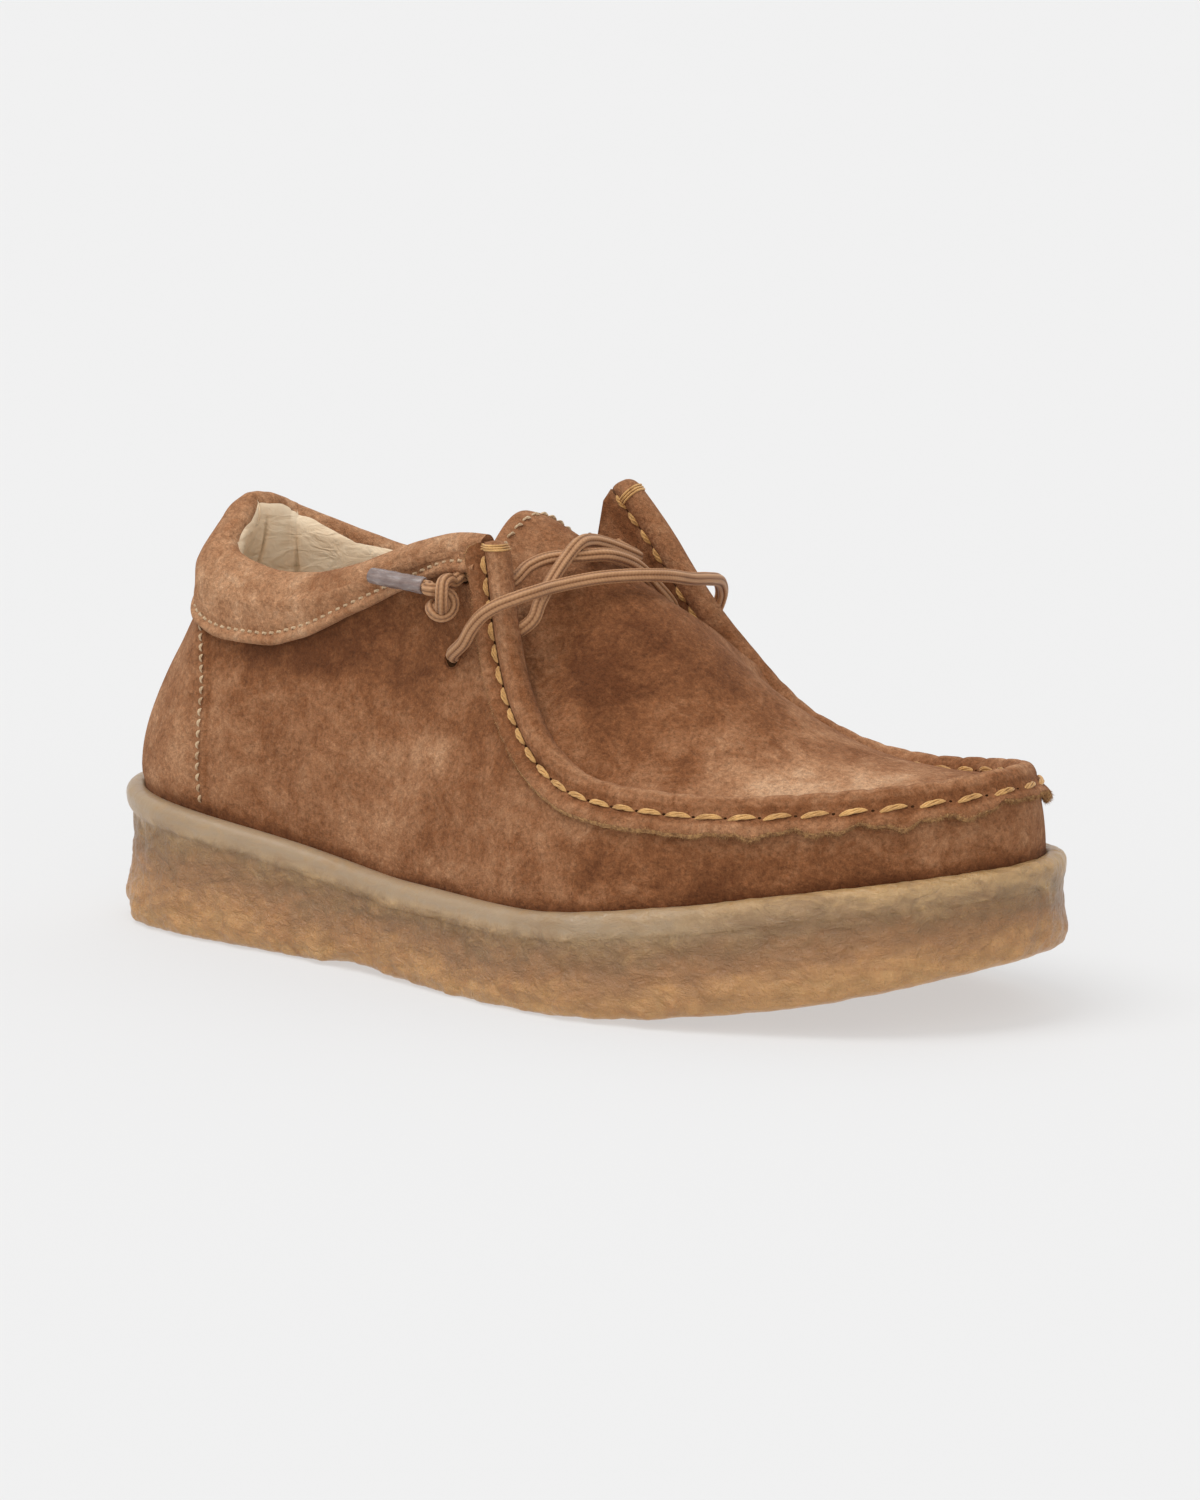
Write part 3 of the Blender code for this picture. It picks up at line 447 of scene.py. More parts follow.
def ground(x, y):
    """The sole's underside: flat under the heel and the ball, raised at the arch and the toe."""
    spring = TOE_SPRING * (np.clip(x - SPRING_START, 0, None) / (LENGTH / 2 - SPRING_START)) ** 2
    arch = np.sin(np.pi * np.clip((x - ARCH_START) / ARCH_LENGTH, 0, 1)) ** 2
    medial = smoothstep(*ARCH_SIDES, y)
    return spring + ARCH_RISE * arch * (0.5 + 0.5 * medial)


def lean(u, x, h):
    """How far the wall stands in from the lip at height h: a cubic through the table's three heights."""
    low, middle, high = (
        np.where(
            np.asarray(u) < TIP,
            column(LEAN, "x", name)(x),
            column(LEAN, "x", "medial_" + name)(x),
        )
        for name in ("low", "middle", "high")
    )
    h = np.maximum(h, 0)
    return (
        low * h * (h - MIDDLE) * (h - HIGH) / (LOW * (LOW - MIDDLE) * (LOW - HIGH))
        + middle * h * (h - LOW) * (h - HIGH) / (MIDDLE * (MIDDLE - LOW) * (MIDDLE - HIGH))
        + high * h * (h - LOW) * (h - MIDDLE) / (HIGH * (HIGH - LOW) * (HIGH - MIDDLE))
    )


def towards_spine(flat):
    """Directions from points in plan to the nearest point of a line along the middle of the shoe."""
    whole = SPINE[1] - SPINE[0]
    share = np.clip(((flat - SPINE[0]) @ whole) / (whole @ whole), 0, 1)
    return unit(SPINE[0] + whole * share[..., None] - flat)


def wall(u, h, out=0.0):
    """A point of the upper's outer face, or one that stands out from it, or in from it, by out."""
    u, h = np.broadcast_arrays(np.asarray(u, float), np.asarray(h, float))
    outer, _ = outline(u)
    foot, _ = outline(u, np.full(u.shape, LIP_INSET))
    flat = foot + towards_spine(foot) * lean(u, outer[..., 0], h)[..., None]
    point = np.concatenate([flat, (lip_top(outer[..., 0]) + h)[..., None]], -1)
    if np.any(out):
        point = point + wall_normal(u, h) * np.asarray(out)[..., None]
    return point


def wall_normal(u, h):
    around = wall(u + SLOPE_STEP, h) - wall(u - SLOPE_STEP, h)
    up = wall(u, h + SLOPE_STEP) - wall(u, h - SLOPE_STEP)
    return unit(np.cross(around, up))


# Searches by x along the wall start past the heel's round end, which near the lip is shorter
SEARCH_START = 0.04
LOW_SEARCH_START = 0.01


def past_heel(side, share=0.0):
    """The u at a share of the way round from the heel's middle along one side."""
    return share if side == "lateral" else 1.0 - share


def share_at(side, x):
    """The u at which the outline passes x."""
    return halve(past_heel(side), TIP, lambda u: outline(u)[0][0] < x)


def wall_share(side, x, h):
    """The u of the wall's point at x and height h above the lip."""
    return halve(past_heel(side, LOW_SEARCH_START), TIP, lambda u: wall(u, h)[0] < x)


def on_wall(side, x, z):
    """(u, h) of the wall's point at x and z."""
    def height(u):
        return z - lip_top(outline(u)[0][0])

    u = halve(past_heel(side, SEARCH_START), TIP, lambda u: wall(u, height(u))[0] < x)
    return u, height(u)


def collar_height(side, u, name):
    x = outline(u)[0][..., 0]
    return column(COLLAR, "x", side + "_" + name)(x) - lip_top(x)


def seam_path(side):
    """The stitched line as (u, h): functions of the distance along it, the throat's distance, and its
    whole length."""
    rows = EYESTAY[side] + APRON[side]
    knots = np.array([on_wall(side, row.x, row.z) for row in rows] + [(TIP, TIP_HEIGHT)])
    steps = np.linalg.norm(np.diff(knots * (PERIMETER, 1), axis=0), axis=1)
    places = np.concatenate([[0], np.cumsum(steps)])
    throat = places[len(EYESTAY[side]) - 1]
    return curve(places, knots[:, 0]), curve(places, knots[:, 1]), throat, places[-1]


# The distances past the throat between which the roll turns from the wall onto the apron
ROLL_TURNS = (-0.010, 0.018)
# How steeply the roll's direction rises across the apron
ROLL_TILT = 0.15


def seam_frames(points, normals, throat_distance):
    """For points along the seam: which way the rolled edge runs from the stitches, and which way it
    stands up. Beside the throat the roll lies on the wall; round the toe it lies on the apron."""
    tangents = unit(np.gradient(points, axis=0))
    on_side = unit(np.cross(normals, tangents))
    on_side *= np.sign(on_side[:, 2])[:, None]
    level = np.stack([-tangents[:, 1], tangents[:, 0], np.zeros(len(points))], 1)
    middle = points.mean(axis=0)
    level = unit(level * np.sign(((middle - points) * level).sum(1))[:, None])
    on_top = unit(level + np.array([0, 0, ROLL_TILT]))
    share = smoothstep(*ROLL_TURNS, throat_distance)[:, None]
    across = unit(on_side * (1 - share) + on_top * share)
    across = unit(across - tangents * (across * tangents).sum(1)[:, None])
    up = unit(np.cross(tangents, across))
    up *= np.sign((up * (normals + np.array([0, 0, 1]))).sum(1))[:, None]
    return across, up


def eyelet_place(name):
    """The middle of an eyelet on the wall's outer face, and the way out of it."""
    eyelet = EYELETS[name]
    u, h = on_wall(eyelet.side, eyelet.x, eyelet.z)
    return wall(u, h), wall_normal(u, h)


# Meshes


def put(name, data):
    """A new object of the scene."""
    obj = bpy.data.objects.new(name, data)
    bpy.context.scene.collection.objects.link(obj)
    return obj


class Body:
    """The points, faces and shading values of one piece."""

    def __init__(self):
        self.points, self.faces, self.looks, self.values = [], [], [], {}
        self.count = 0

    def grid(self, points, closed=False, look=0, **values):
        """A surface of quads over rows and columns of points. In a closed one, the last column meets the
        first. look is the number of its material."""
        rows, columns = points.shape[:2]
        i = np.arange(rows - 1)[:, None] * columns
        j = np.arange(columns if closed else columns - 1)[None]
        after = (j + 1) % columns
        corners = (i + j, i + after, i + columns + after, i + columns + j)
        faces = np.stack(np.broadcast_arrays(*corners), -1).reshape(-1, 4) + self.count
        self.points.append(points.reshape(-1, 3))
        self.faces.append(faces)
        self.looks.append(np.full(len(faces), look))
        for name, value in values.items():
            full = np.broadcast_to(value, points.shape[:2]).reshape(-1)
            self.values.setdefault(name, []).append((self.count, full))
        self.count += rows * columns
        return self

    def sheet(self, outer, inner, looks=(0, 0, 0), **values):
        """A sheet with a thickness: its outer face, its inner face and the edges between them."""
        self.grid(outer, look=looks[0], **values)
        self.grid(inner[::-1], look=looks[1], **values)
        edge_values = {name: 0.0 for name in values}
        for first, second in (
            (outer[0], inner[0]),
            (inner[-1], outer[-1]),
            (inner[:, 0], outer[:, 0]),
            (outer[:, -1], inner[:, -1]),
        ):
            self.grid(np.stack([second, first]), look=looks[2], **edge_values)
        return self

    def close(self, ring, **values):
        """Fills a closed ring of points, towards its middle."""
        middle = np.broadcast_to(ring.mean(0), ring.shape)
        return self.grid(np.array([ring, middle]), closed=True, **values)

    def make(self, name, looks, node, slot, sharp=50):
        """The piece's object, which replaces a node of the solids. Edges past the angle sharp are creases."""
        mesh = bpy.data.meshes.new(name)
        faces = np.concatenate(self.faces)
        mesh.from_pydata(np.concatenate(self.points), [], faces)
        mesh.update()
        mesh.shade_smooth()
        mesh.set_sharp_from_angle(angle=math.radians(sharp))
        for look in looks:
            mesh.materials.append(look)
        mesh.polygons.foreach_set("material_index", np.concatenate(self.looks).astype(np.int32))
        for key, parts in self.values.items():
            whole = np.zeros(self.count, np.float32)
            for first, part in parts:
                whole[first : first + len(part)] = part
            mesh.attributes.new(key, "FLOAT", "POINT").data.foreach_set("value", whole)
        obj = put(name, mesh)
        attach(obj, "root")
        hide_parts(node)
        return obj


def grid_normals(grid, closed=False):
    """Normals of a grid of points, by its rows crossed with its columns."""
    aside = np.roll(grid, -1, 1) - np.roll(grid, 1, 1) if closed else np.gradient(grid, axis=1)
    return unit(np.cross(np.gradient(grid, axis=0), aside))


STRAND_STEPS = 11
STRAND_SIDES = 6
BEAD_RINGS = 6
BEAD_SIDES = 8


def tube_grid(line, radius, sides, bumps=None):
    """Rings of points round a line. radius is one number or one for each point; bumps scales it by angle."""
    tangents = unit(np.gradient(line, axis=0))
    normal = unit(np.cross(tangents[0], (0.31, 0.22, 0.93)))
    angles = np.arange(sides) * 2 * math.pi / sides
    scale = np.ones(sides) if bumps is None else bumps(angles)
    radius = np.broadcast_to(radius, len(line))
    rings = []
    for point, tangent, size in zip(line, tangents, radius):
        normal = unit(normal - tangent * (normal @ tangent))
        binormal = np.cross(tangent, normal)
        spokes = np.cos(angles)[:, None] * normal + np.sin(angles)[:, None] * binormal
        rings.append(point + size * scale[:, None] * spokes)
    return np.array(rings)


def add_tube(body, line, radius, sides, bumps=None):
    """A capped tube round a line. Its values are the distance along it and the share of the way round."""
    rings = tube_grid(line, radius, sides, bumps)
    first = np.broadcast_to(line[0], rings[0].shape)[None]
    last = np.broadcast_to(line[-1], rings[0].shape)[None]
    rings = np.concatenate([first, rings, last])
    rings = np.concatenate([rings, rings[:, :1]], 1)
    along = distances(np.concatenate([line[:1], line, line[-1:]]))[:, None]
    body.grid(rings, along=along, around=np.arange(sides + 1) / sides)


# A stitch rises from sink below its ends to lift above the line between them. Its strands, of a radius,
# twist in a bundle of a half width.
Stitch = namedtuple("Stitch", "lift sink width radius strands turns")


def add_strands(body, starts, ends, ups, kind):
    """Stitches of twisted strands, of one kind. All places are arrays with one row for each stitch."""
    t = np.linspace(0, 1, STRAND_STEPS)
    swell = np.sin(np.pi * t) ** 0.55
    along = unit(ends - starts)
    aside = unit(np.cross(along, ups))
    line = starts[:, None] + (ends - starts)[:, None] * t[:, None]
    rise = (kind.lift + kind.sink) * np.sin(np.pi * t) ** 0.7 - kind.sink
    line = line + ups[:, None] * rise[:, None]
    for k in range(kind.strands):
        turn = 2 * math.pi * (k / kind.strands + kind.turns * t)
        bundle = kind.width * swell[:, None]
        offset = (
            aside[:, None] * (np.cos(turn)[:, None] * bundle)
            + ups[:, None] * (0.5 * np.sin(turn)[:, None] * bundle)
        )
        centre = line + offset
        angles = np.arange(STRAND_SIDES + 1) * 2 * math.pi / STRAND_SIDES
        size = (kind.radius * (0.45 + 0.55 * swell))[None, :, None, None]
        spokes = (
            np.cos(angles)[None, None, :, None] * aside[:, None, None]
            + np.sin(angles)[None, None, :, None] * ups[:, None, None]
        )
        rings = centre[:, :, None] + size * spokes
        for stitch in rings:
            body.grid(stitch)


def add_beads(body, middles, along, ups, size):
    """Small ellipsoids, one at each place, with their half sizes along, aside and up."""
    side = unit(np.cross(along, ups))
    lat = np.linspace(-math.pi / 2, math.pi / 2, BEAD_RINGS)
    lon = np.arange(BEAD_SIDES + 1) * 2 * math.pi / BEAD_SIDES
    for middle, a, b, c in zip(middles, along, side, ups):
        body.grid(
            middle
            + size[0] * (np.cos(lat)[:, None] * np.cos(lon))[..., None] * a
            + size[1] * (np.cos(lat)[:, None] * np.sin(lon))[..., None] * b
            + size[2] * (np.sin(lat)[:, None] * np.ones(len(lon)))[..., None] * c
        )


# Materials


class Look:
    """A material's nodes, with a short call for each kind that the materials use."""

    def __init__(self, name, **shader):
        self.material = bpy.data.materials.new(name)
        self.material.use_nodes = True
        self.tree = self.material.node_tree
        self.shader = self.tree.nodes["Principled BSDF"]
        for key, value in shader.items():
            self.shader.inputs[key.replace("_", " ")].default_value = value

    def node(self, kind, **settings):
        made = self.tree.nodes.new(kind)
        for key, value in settings.items():
            setattr(made, key, value)
        return made

    def join(self, source, target):
        self.tree.links.new(source, target)

    def feed(self, target, value):
        """Sets an input to a number or a colour, or links it to a node's output."""
        if isinstance(value, bpy.types.NodeSocket):
            self.join(value, target)
        else:
            target.default_value = value

    def texture(self, kind, place, inputs, **settings):
        """A texture node at a place, with the values of its inputs."""
        made = self.node(kind, **settings)
        for key, value in inputs.items():
            made.inputs[key].default_value = value
        self.join(place, made.inputs["Vector"])
        return made

    def place(self, size, stretch, seed):
        """Places on the object, in steps of a size in metres, moved by the seed."""
        mapping = self.texture(
            "ShaderNodeMapping",
            self.node("ShaderNodeTexCoord").outputs["Object"],
            {
                "Scale": [1 / (size * share) for share in stretch],
                "Location": (seed, seed * 1.7, seed * 2.3),
            },
        )
        return mapping.outputs["Vector"]

    def noise(self, size, detail=4.0, rough=0.55, stretch=(1, 1, 1), distortion=0.0, seed=0.0):
        inputs = {"Scale": 1.0, "Detail": detail, "Roughness": rough, "Distortion": distortion}
        return self.texture("ShaderNodeTexNoise", self.place(size, stretch, seed), inputs).outputs["Fac"]

    def cells(self, size, stretch, warp, seed):
        """Rounded lumps: 0 at the middle of each and towards 1 in the dips between them."""
        place = self.place(size, stretch, seed)
        ripple = self.texture("ShaderNodeTexNoise", place, {"Scale": 1.3, "Detail": 3.0})
        moved = self.node("ShaderNodeVectorMath", operation="MULTIPLY_ADD")
        moved.inputs[1].default_value = (warp, warp, warp)
        self.join(ripple.outputs["Color"], moved.inputs[0])
        self.join(place, moved.inputs[2])
        inputs = {"Scale": 1.0, "Smoothness": 0.5}
        lumps = self.texture("ShaderNodeTexVoronoi", moved.outputs["Vector"], inputs, feature="SMOOTH_F1")
        return lumps.outputs["Distance"]

    def value(self, name):
        """A shading value of the piece's points."""
        return self.node("ShaderNodeAttribute", attribute_name=name).outputs["Fac"]

    def math(self, operation, first, second=0.0, clamp=False):
        made = self.node("ShaderNodeMath", operation=operation, use_clamp=clamp)
        self.feed(made.inputs[0], first)
        self.feed(made.inputs[1], second)
        return made.outputs[0]

    def blend(self, terms, start=0.5):
        """start plus each source's distance from its middle, times its weight, as a share from 0 to 1."""
        total = start
        for source, middle, weight in terms:
            shifted = self.math("SUBTRACT", source, middle)
            total = self.math("ADD", self.math("MULTIPLY", shifted, weight), total)
        return self.math("MAXIMUM", self.math("MINIMUM", total, 1.0), 0.0)

    def ramp(self, share, *stops):
        """The colour at a share from 0 to 1, between stops of (place, colour)."""
        made = self.node("ShaderNodeValToRGB")
        ramp = made.color_ramp
        while len(ramp.elements) < len(stops):
            ramp.elements.new(0.5)
        for element, (place, colour) in zip(ramp.elements, stops):
            element.position = place
            element.color = (*colour, 1)
        self.join(share, made.inputs["Fac"])
        return made.outputs["Color"]

    def grey(self, share, low, high):
        """A number from low, at a share of 0, to high, at 1."""
        made = self.node("ShaderNodeMapRange")
        made.inputs["To Min"].default_value = low
        made.inputs["To Max"].default_value = high
        self.join(share, made.inputs["Value"])
        return made.outputs["Result"]

    def mix(self, share, first, second):
        made = self.node("ShaderNodeMix", data_type="RGBA", blend_type="MIX")
        self.feed(made.inputs["Factor"], share)
        self.feed(made.inputs["A"], first)
        self.feed(made.inputs["B"], second)
        return made.outputs["Result"]

    def scaled(self, colour, share):
        """The colour times a grey."""
        made = self.node("ShaderNodeVectorMath", operation="SCALE")
        self.join(colour, made.inputs[0])
        self.join(share, made.inputs["Scale"])
        return made.outputs["Vector"]

    def bump(self, *layers):
        """Bumps of (height, distance in metres, strength), one on another."""
        normal = None
        for height, distance, strength in layers:
            made = self.node("ShaderNodeBump")
            made.inputs["Distance"].default_value = distance
            made.inputs["Strength"].default_value = strength
            self.join(height, made.inputs["Height"])
            if normal:
                self.join(normal, made.inputs["Normal"])
            normal = made.outputs["Normal"]
        self.join(normal, self.shader.inputs["Normal"])

    def colour(self, source):
        self.join(source, self.shader.inputs["Base Color"])


def suede_look():
    """Brushed calf suede: warm brown, darker and lighter where the nap lies differently, worn in places. Each
    piece's tone darkens or lightens it further, and also carries painted shade and painted highlight: along
    the seams and the heel strip, under the collar, and on the plug beside the roll.
    """
    look = Look(
        "suede",
        Roughness=0.95,
        Specular_IOR_Level=0.12,
        Sheen_Weight=0.06,
        Sheen_Roughness=0.5,
        Sheen_Tint=(1.0, 0.78, 0.58, 1),
    )
    patches = look.noise(0.021, detail=4.0, rough=0.62, distortion=0.8)
    clouds = look.noise(0.0085, detail=6.0, rough=0.72, stretch=(1.05, 1.05, 1.0), distortion=0.9, seed=3)
    brushed = look.noise(0.0030, detail=5.0, rough=0.72, stretch=(1.1, 1.1, 0.95), distortion=1.6, seed=7)
    nap = look.noise(0.0011, detail=3.0, rough=0.8, seed=5)
    fibres = look.noise(0.00034, detail=2.0, rough=0.6, seed=9)
    share = look.blend(
        (
            (patches, 0.5, 1.00),
            (clouds, 0.5, 0.90),
            (brushed, 0.5, 0.58),
            # tone: each piece's own darker and lighter places, with painted shade and painted highlight
            (look.value("tone"), 0.0, 0.40),
        ),
        start=0.455,
    )
    colour = look.ramp(
        share,
        (0.0, (0.133, 0.046, 0.017)),
        (0.28, (0.226, 0.087, 0.034)),
        (0.52, (0.325, 0.147, 0.068)),
        (0.78, (0.448, 0.234, 0.121)),
        (1.0, (0.570, 0.340, 0.198)),
    )
    grain = look.math("MULTIPLY", look.grey(nap, 0.20, 1.80), look.grey(fibres, 0.60, 1.40))
    look.colour(look.scaled(colour, grain))
    look.bump((clouds, 0.0020, 0.30), (brushed, 0.0008, 0.30), (nap, 0.00070, 0.8), (fibres, 0.00025, 0.6))
    return look.material


def raw_look():
    """The cut edge of the suede, with loose golden fibres."""
    look = Look("raw_edge", Roughness=0.95, Specular_IOR_Level=0.12, Sheen_Weight=0.05)
    crumbs = look.noise(0.0009, detail=4.0, rough=0.75)
    colour = look.ramp(
        crumbs,
        (0.30, (0.150, 0.068, 0.030)),
        (0.48, (0.380, 0.200, 0.088)),
        (0.60, (0.600, 0.350, 0.140)),
        (0.75, (0.740, 0.500, 0.240)),
    )
    look.colour(colour)
    look.bump((crumbs, 0.0006, 0.8))
    return look.material


def thread_look(name, dark, light):
    look = Look(name, Roughness=0.55, Specular_IOR_Level=0.4, Sheen_Weight=0.15)
    fibres = look.noise(0.0003, detail=3.0, rough=0.6)
    lengths = look.noise(0.0030, detail=1.0, seed=4)
    share = look.blend(((fibres, 0.5, 0.9), (lengths, 0.5, 0.9)))
    look.colour(look.ramp(share, (0.15, dark), (0.75, light)))
    look.bump((fibres, 0.00012, 0.6))
    return look.material


# The dark of the stitch holes and of the eyelets' insides: painted shade, since the holes are not cut
def hole_shade_look():
    look = Look("stitch_hole_shade", Roughness=1.0, Specular_IOR_Level=0.0)
    look.colour(look.ramp(look.noise(0.0008), (0.3, (0.020, 0.009, 0.004)), (0.7, (0.060, 0.026, 0.011))))
    return look.material


def lining_look():
    """Soft cream leather, with fine wrinkles, and painted shade in its creases from the tone value."""
    look = Look("lining_leather", Roughness=0.62, Specular_IOR_Level=0.35)
    clouds = look.noise(0.020, detail=4.0, rough=0.6)
    grain = look.noise(0.0012, detail=4.0, rough=0.6, seed=2)
    wrinkles = look.noise(0.006, detail=3.0, rough=0.5, stretch=(1.2, 1.2, 0.6), distortion=1.2, seed=6)
    share = look.blend(((clouds, 0.5, 0.8), (grain, 0.5, 0.25), (look.value("tone"), 0.0, 0.5)))
    colour = look.ramp(
        share,
        (0.0, (0.360, 0.240, 0.120)),
        (0.40, (0.920, 0.710, 0.480)),
        (1.0, (0.960, 0.880, 0.700)),
    )
    look.colour(colour)
    look.bump((wrinkles, 0.0013, 0.60), (grain, 0.00022, 0.40))
    return look.material


def footbed_look():
    look = Look("footbed_leather", Roughness=0.55, Specular_IOR_Level=0.35)
    clouds = look.noise(0.030, detail=4.0, rough=0.6)
    grain = look.noise(0.0009, detail=3.0, rough=0.6, seed=2)
    share = look.blend(((clouds, 0.5, 0.7), (grain, 0.5, 0.3), (look.value("tone"), 0.0, 0.5)))
    colour = look.ramp(
        share,
        (0.0, (0.300, 0.200, 0.105)),
        (0.5, (0.480, 0.360, 0.220)),
        (1.0, (0.640, 0.520, 0.360)),
    )
    look.colour(colour)
    look.bump((grain, 0.00018, 0.4))
    return look.material


def gum_look():
    """Translucent gum: honey below, olive grey half way up and a milky lip, with the lumps of crepe and
    painted shade in the dips between them.
    """
    look = Look(
        "gum",
        Roughness=0.31,
        Specular_IOR_Level=0.50,
        Subsurface_Weight=0.12,
        Subsurface_Radius=(0.0025, 0.0015, 0.0008),
        Subsurface_Scale=1.0,
    )
    clouds = look.noise(0.022, detail=6.0, rough=0.66, stretch=(1.6, 1.6, 0.6), distortion=1.0)
    streaks = look.noise(0.0060, detail=5.0, rough=0.62, stretch=(1.4, 1.4, 0.8), distortion=1.8, seed=4)
    amber = look.noise(0.0100, detail=4.0, rough=0.60, stretch=(1.3, 1.3, 0.8), distortion=1.2, seed=6)
    specks = look.noise(0.0010, detail=3.0, rough=0.7, seed=8)
    lumps = look.cells(0.0042, stretch=(1.1, 1.1, 0.9), warp=0.7, seed=2)
    height = look.value("height")
    share = look.blend(((height, 0.5, 1.0), (clouds, 0.5, 0.90), (streaks, 0.5, 0.50)))
    wall_colour = look.ramp(
        share,
        (0.00, (0.600, 0.335, 0.134)),
        (0.20, (0.520, 0.270, 0.103)),
        (0.42, (0.360, 0.178, 0.072)),
        (0.62, (0.292, 0.157, 0.066)),
        (0.80, (0.362, 0.210, 0.088)),
        (0.95, (0.550, 0.330, 0.132)),
    )
    spots = look.ramp(amber, (0.50, (0, 0, 0)), (0.66, (1, 1, 1)))
    below = look.math("SUBTRACT", 1.0, height)
    spotted = look.math("MULTIPLY", look.math("MULTIPLY", spots, below, clamp=True), 0.75)
    wall_colour = look.mix(spotted, wall_colour, (0.430, 0.195, 0.068, 1))
    ragged = look.math("MULTIPLY", look.math("SUBTRACT", look.math("ADD", clouds, streaks), 1.0), 1.6)
    band = look.math("ADD", look.value("milk"), look.math("MULTIPLY", ragged, look.value("milk")), clamp=True)
    milk = look.ramp(clouds, (0.3, (0.330, 0.228, 0.137)), (0.7, (0.405, 0.290, 0.180)))
    colour = look.mix(band, wall_colour, milk)
    rough_part = look.value("crepe")
    flecks_and_shade = look.math("MULTIPLY", look.grey(streaks, 0.80, 1.20), look.grey(specks, 0.82, 1.18))
    # Darker in the dips between the crepe's lumps: painted shade
    flecks_and_shade = look.math("MULTIPLY", flecks_and_shade, look.grey(lumps, 1.10, 0.82))
    soft_flecks_and_shade = look.math("ADD", 1.0, look.math("MULTIPLY", look.math("SUBTRACT", flecks_and_shade, 1.0), rough_part))
    look.colour(look.scaled(colour, soft_flecks_and_shade))
    grain = look.math("ADD", streaks, look.math("MULTIPLY", specks, 0.5))
    grain = look.math("SUBTRACT", grain, look.math("MULTIPLY", lumps, 0.8))
    look.bump((look.math("MULTIPLY", grain, rough_part), 0.0020, 0.8))
    return look.material


def lace_look():
    """A round waxed cord: smooth ribs run along it, with a fine weave across them, and painted shade in the
    grooves between the ribs.
    """
    look = Look("lace", Roughness=0.55, Specular_IOR_Level=0.35, Sheen_Weight=0.08)
    across = look.math("PINGPONG", look.math("MULTIPLY", look.value("around"), RIBS), 0.5)
    slanted = look.math("MULTIPLY", across, 1.2)
    chevrons = look.math("ADD", look.math("MULTIPLY", look.value("along"), 1 / WEAVE), slanted)
    waves = look.math("SINE", look.math("MULTIPLY", chevrons, 2 * math.pi))
    weave = look.math("ADD", look.math("MULTIPLY", waves, 0.5), 0.5)
    rib = look.math("POWER", look.math("MULTIPLY", across, 2.0), 0.5)
    wear = look.noise(0.005, detail=3.0)
    # The rib's profile also darkens the grooves between the ribs: painted shade
    share = look.blend(((weave, 0.5, 0.16), (rib, 0.6, 0.60), (wear, 0.5, 0.4)), start=0.56)
    colour = look.ramp(
        share,
        (0.0, (0.110, 0.043, 0.016)),
        (0.45, (0.365, 0.170, 0.072)),
        (1.0, (0.590, 0.330, 0.165)),
    )
    look.colour(colour)
    look.bump((rib, 0.0006, 0.8), (weave, 0.00012, 0.4))
    return look.material


def sleeve_look():
    """Shrunk clear plastic over the lace's end, a little wrinkled, and lighter and darker along its wrinkles.
    """
    look = Look(
        "clear_sleeve",
        Roughness=0.22,
        Specular_IOR_Level=0.6,
        Transmission_Weight=0.55,
        IOR=1.35,
    )
    wrinkles = look.noise(0.0022, detail=3.0, rough=0.6, stretch=(2.2, 0.7, 0.7))
    colour = look.ramp(
        wrinkles,
        (0.30, (0.300, 0.215, 0.195)),
        (0.55, (0.480, 0.400, 0.380)),
        (0.75, (0.760, 0.700, 0.680)),
    )
    look.colour(colour)
    look.bump((wrinkles, 0.0009, 0.7))
    return look.material


# The lace's ribs round it, and the length of its weave
RIBS = 6
WEAVE = 0.0009
SUEDE = suede_look()
RAW = raw_look()
GOLD = thread_look("gold_thread", (0.330, 0.150, 0.040), (0.740, 0.430, 0.150))
CREAM = thread_look("cream_thread", (0.360, 0.210, 0.100), (0.700, 0.530, 0.330))
HOLE_SHADE = hole_shade_look()
LINING = lining_look()
FOOTBED = footbed_look()
GUM = gum_look()
CORD = lace_look()
SLEEVE = sleeve_look()


# The cords


# How far out of the wall the lace stands before and after each eyelet that it passes
EYELET_DEPTHS = {
    "lateral_upper": (0.0008, -0.0018),
    "medial_lower": (-0.0020, 0.0012),
    "lateral_lower": (0.0010, -0.0024),
    "medial_upper": (-0.0018, 0.0008),
}
LACE_STEP = 0.0008
LACE_SIDES = 36
RIB_DEPTH = 0.12


def through(name):
    """The lace's two places at an eyelet."""
    middle, normal = eyelet_place(name)
    return [middle + normal * depth for depth in EYELET_DEPTHS[name]]


def lace_route():
    """The lace between the upper eyelets: inside down to the medial lower one, across the outside to the
    lateral lower one, and inside up again."""
    points = [
        *through("lateral_upper"),
        *FALLING_BAR,
        *through("medial_lower"),
        *OUTER_BAR[:0:-1],
        *through("lateral_lower"),
        *RISING_BAR,
        *through("medial_upper"),
    ]
    return smooth_line(points, LACE_STEP)


def rib_shape(angles):
    return 1 - RIB_DEPTH * np.abs(np.cos(angles * RIBS / 2)) ** 8


def make_lace():
    body = Body()
    add_tube(body, lace_route(), LACE / 2, LACE_SIDES, rib_shape)
    body.make("lace", [CORD], node="lace_bars", slot="cord", sharp=70)


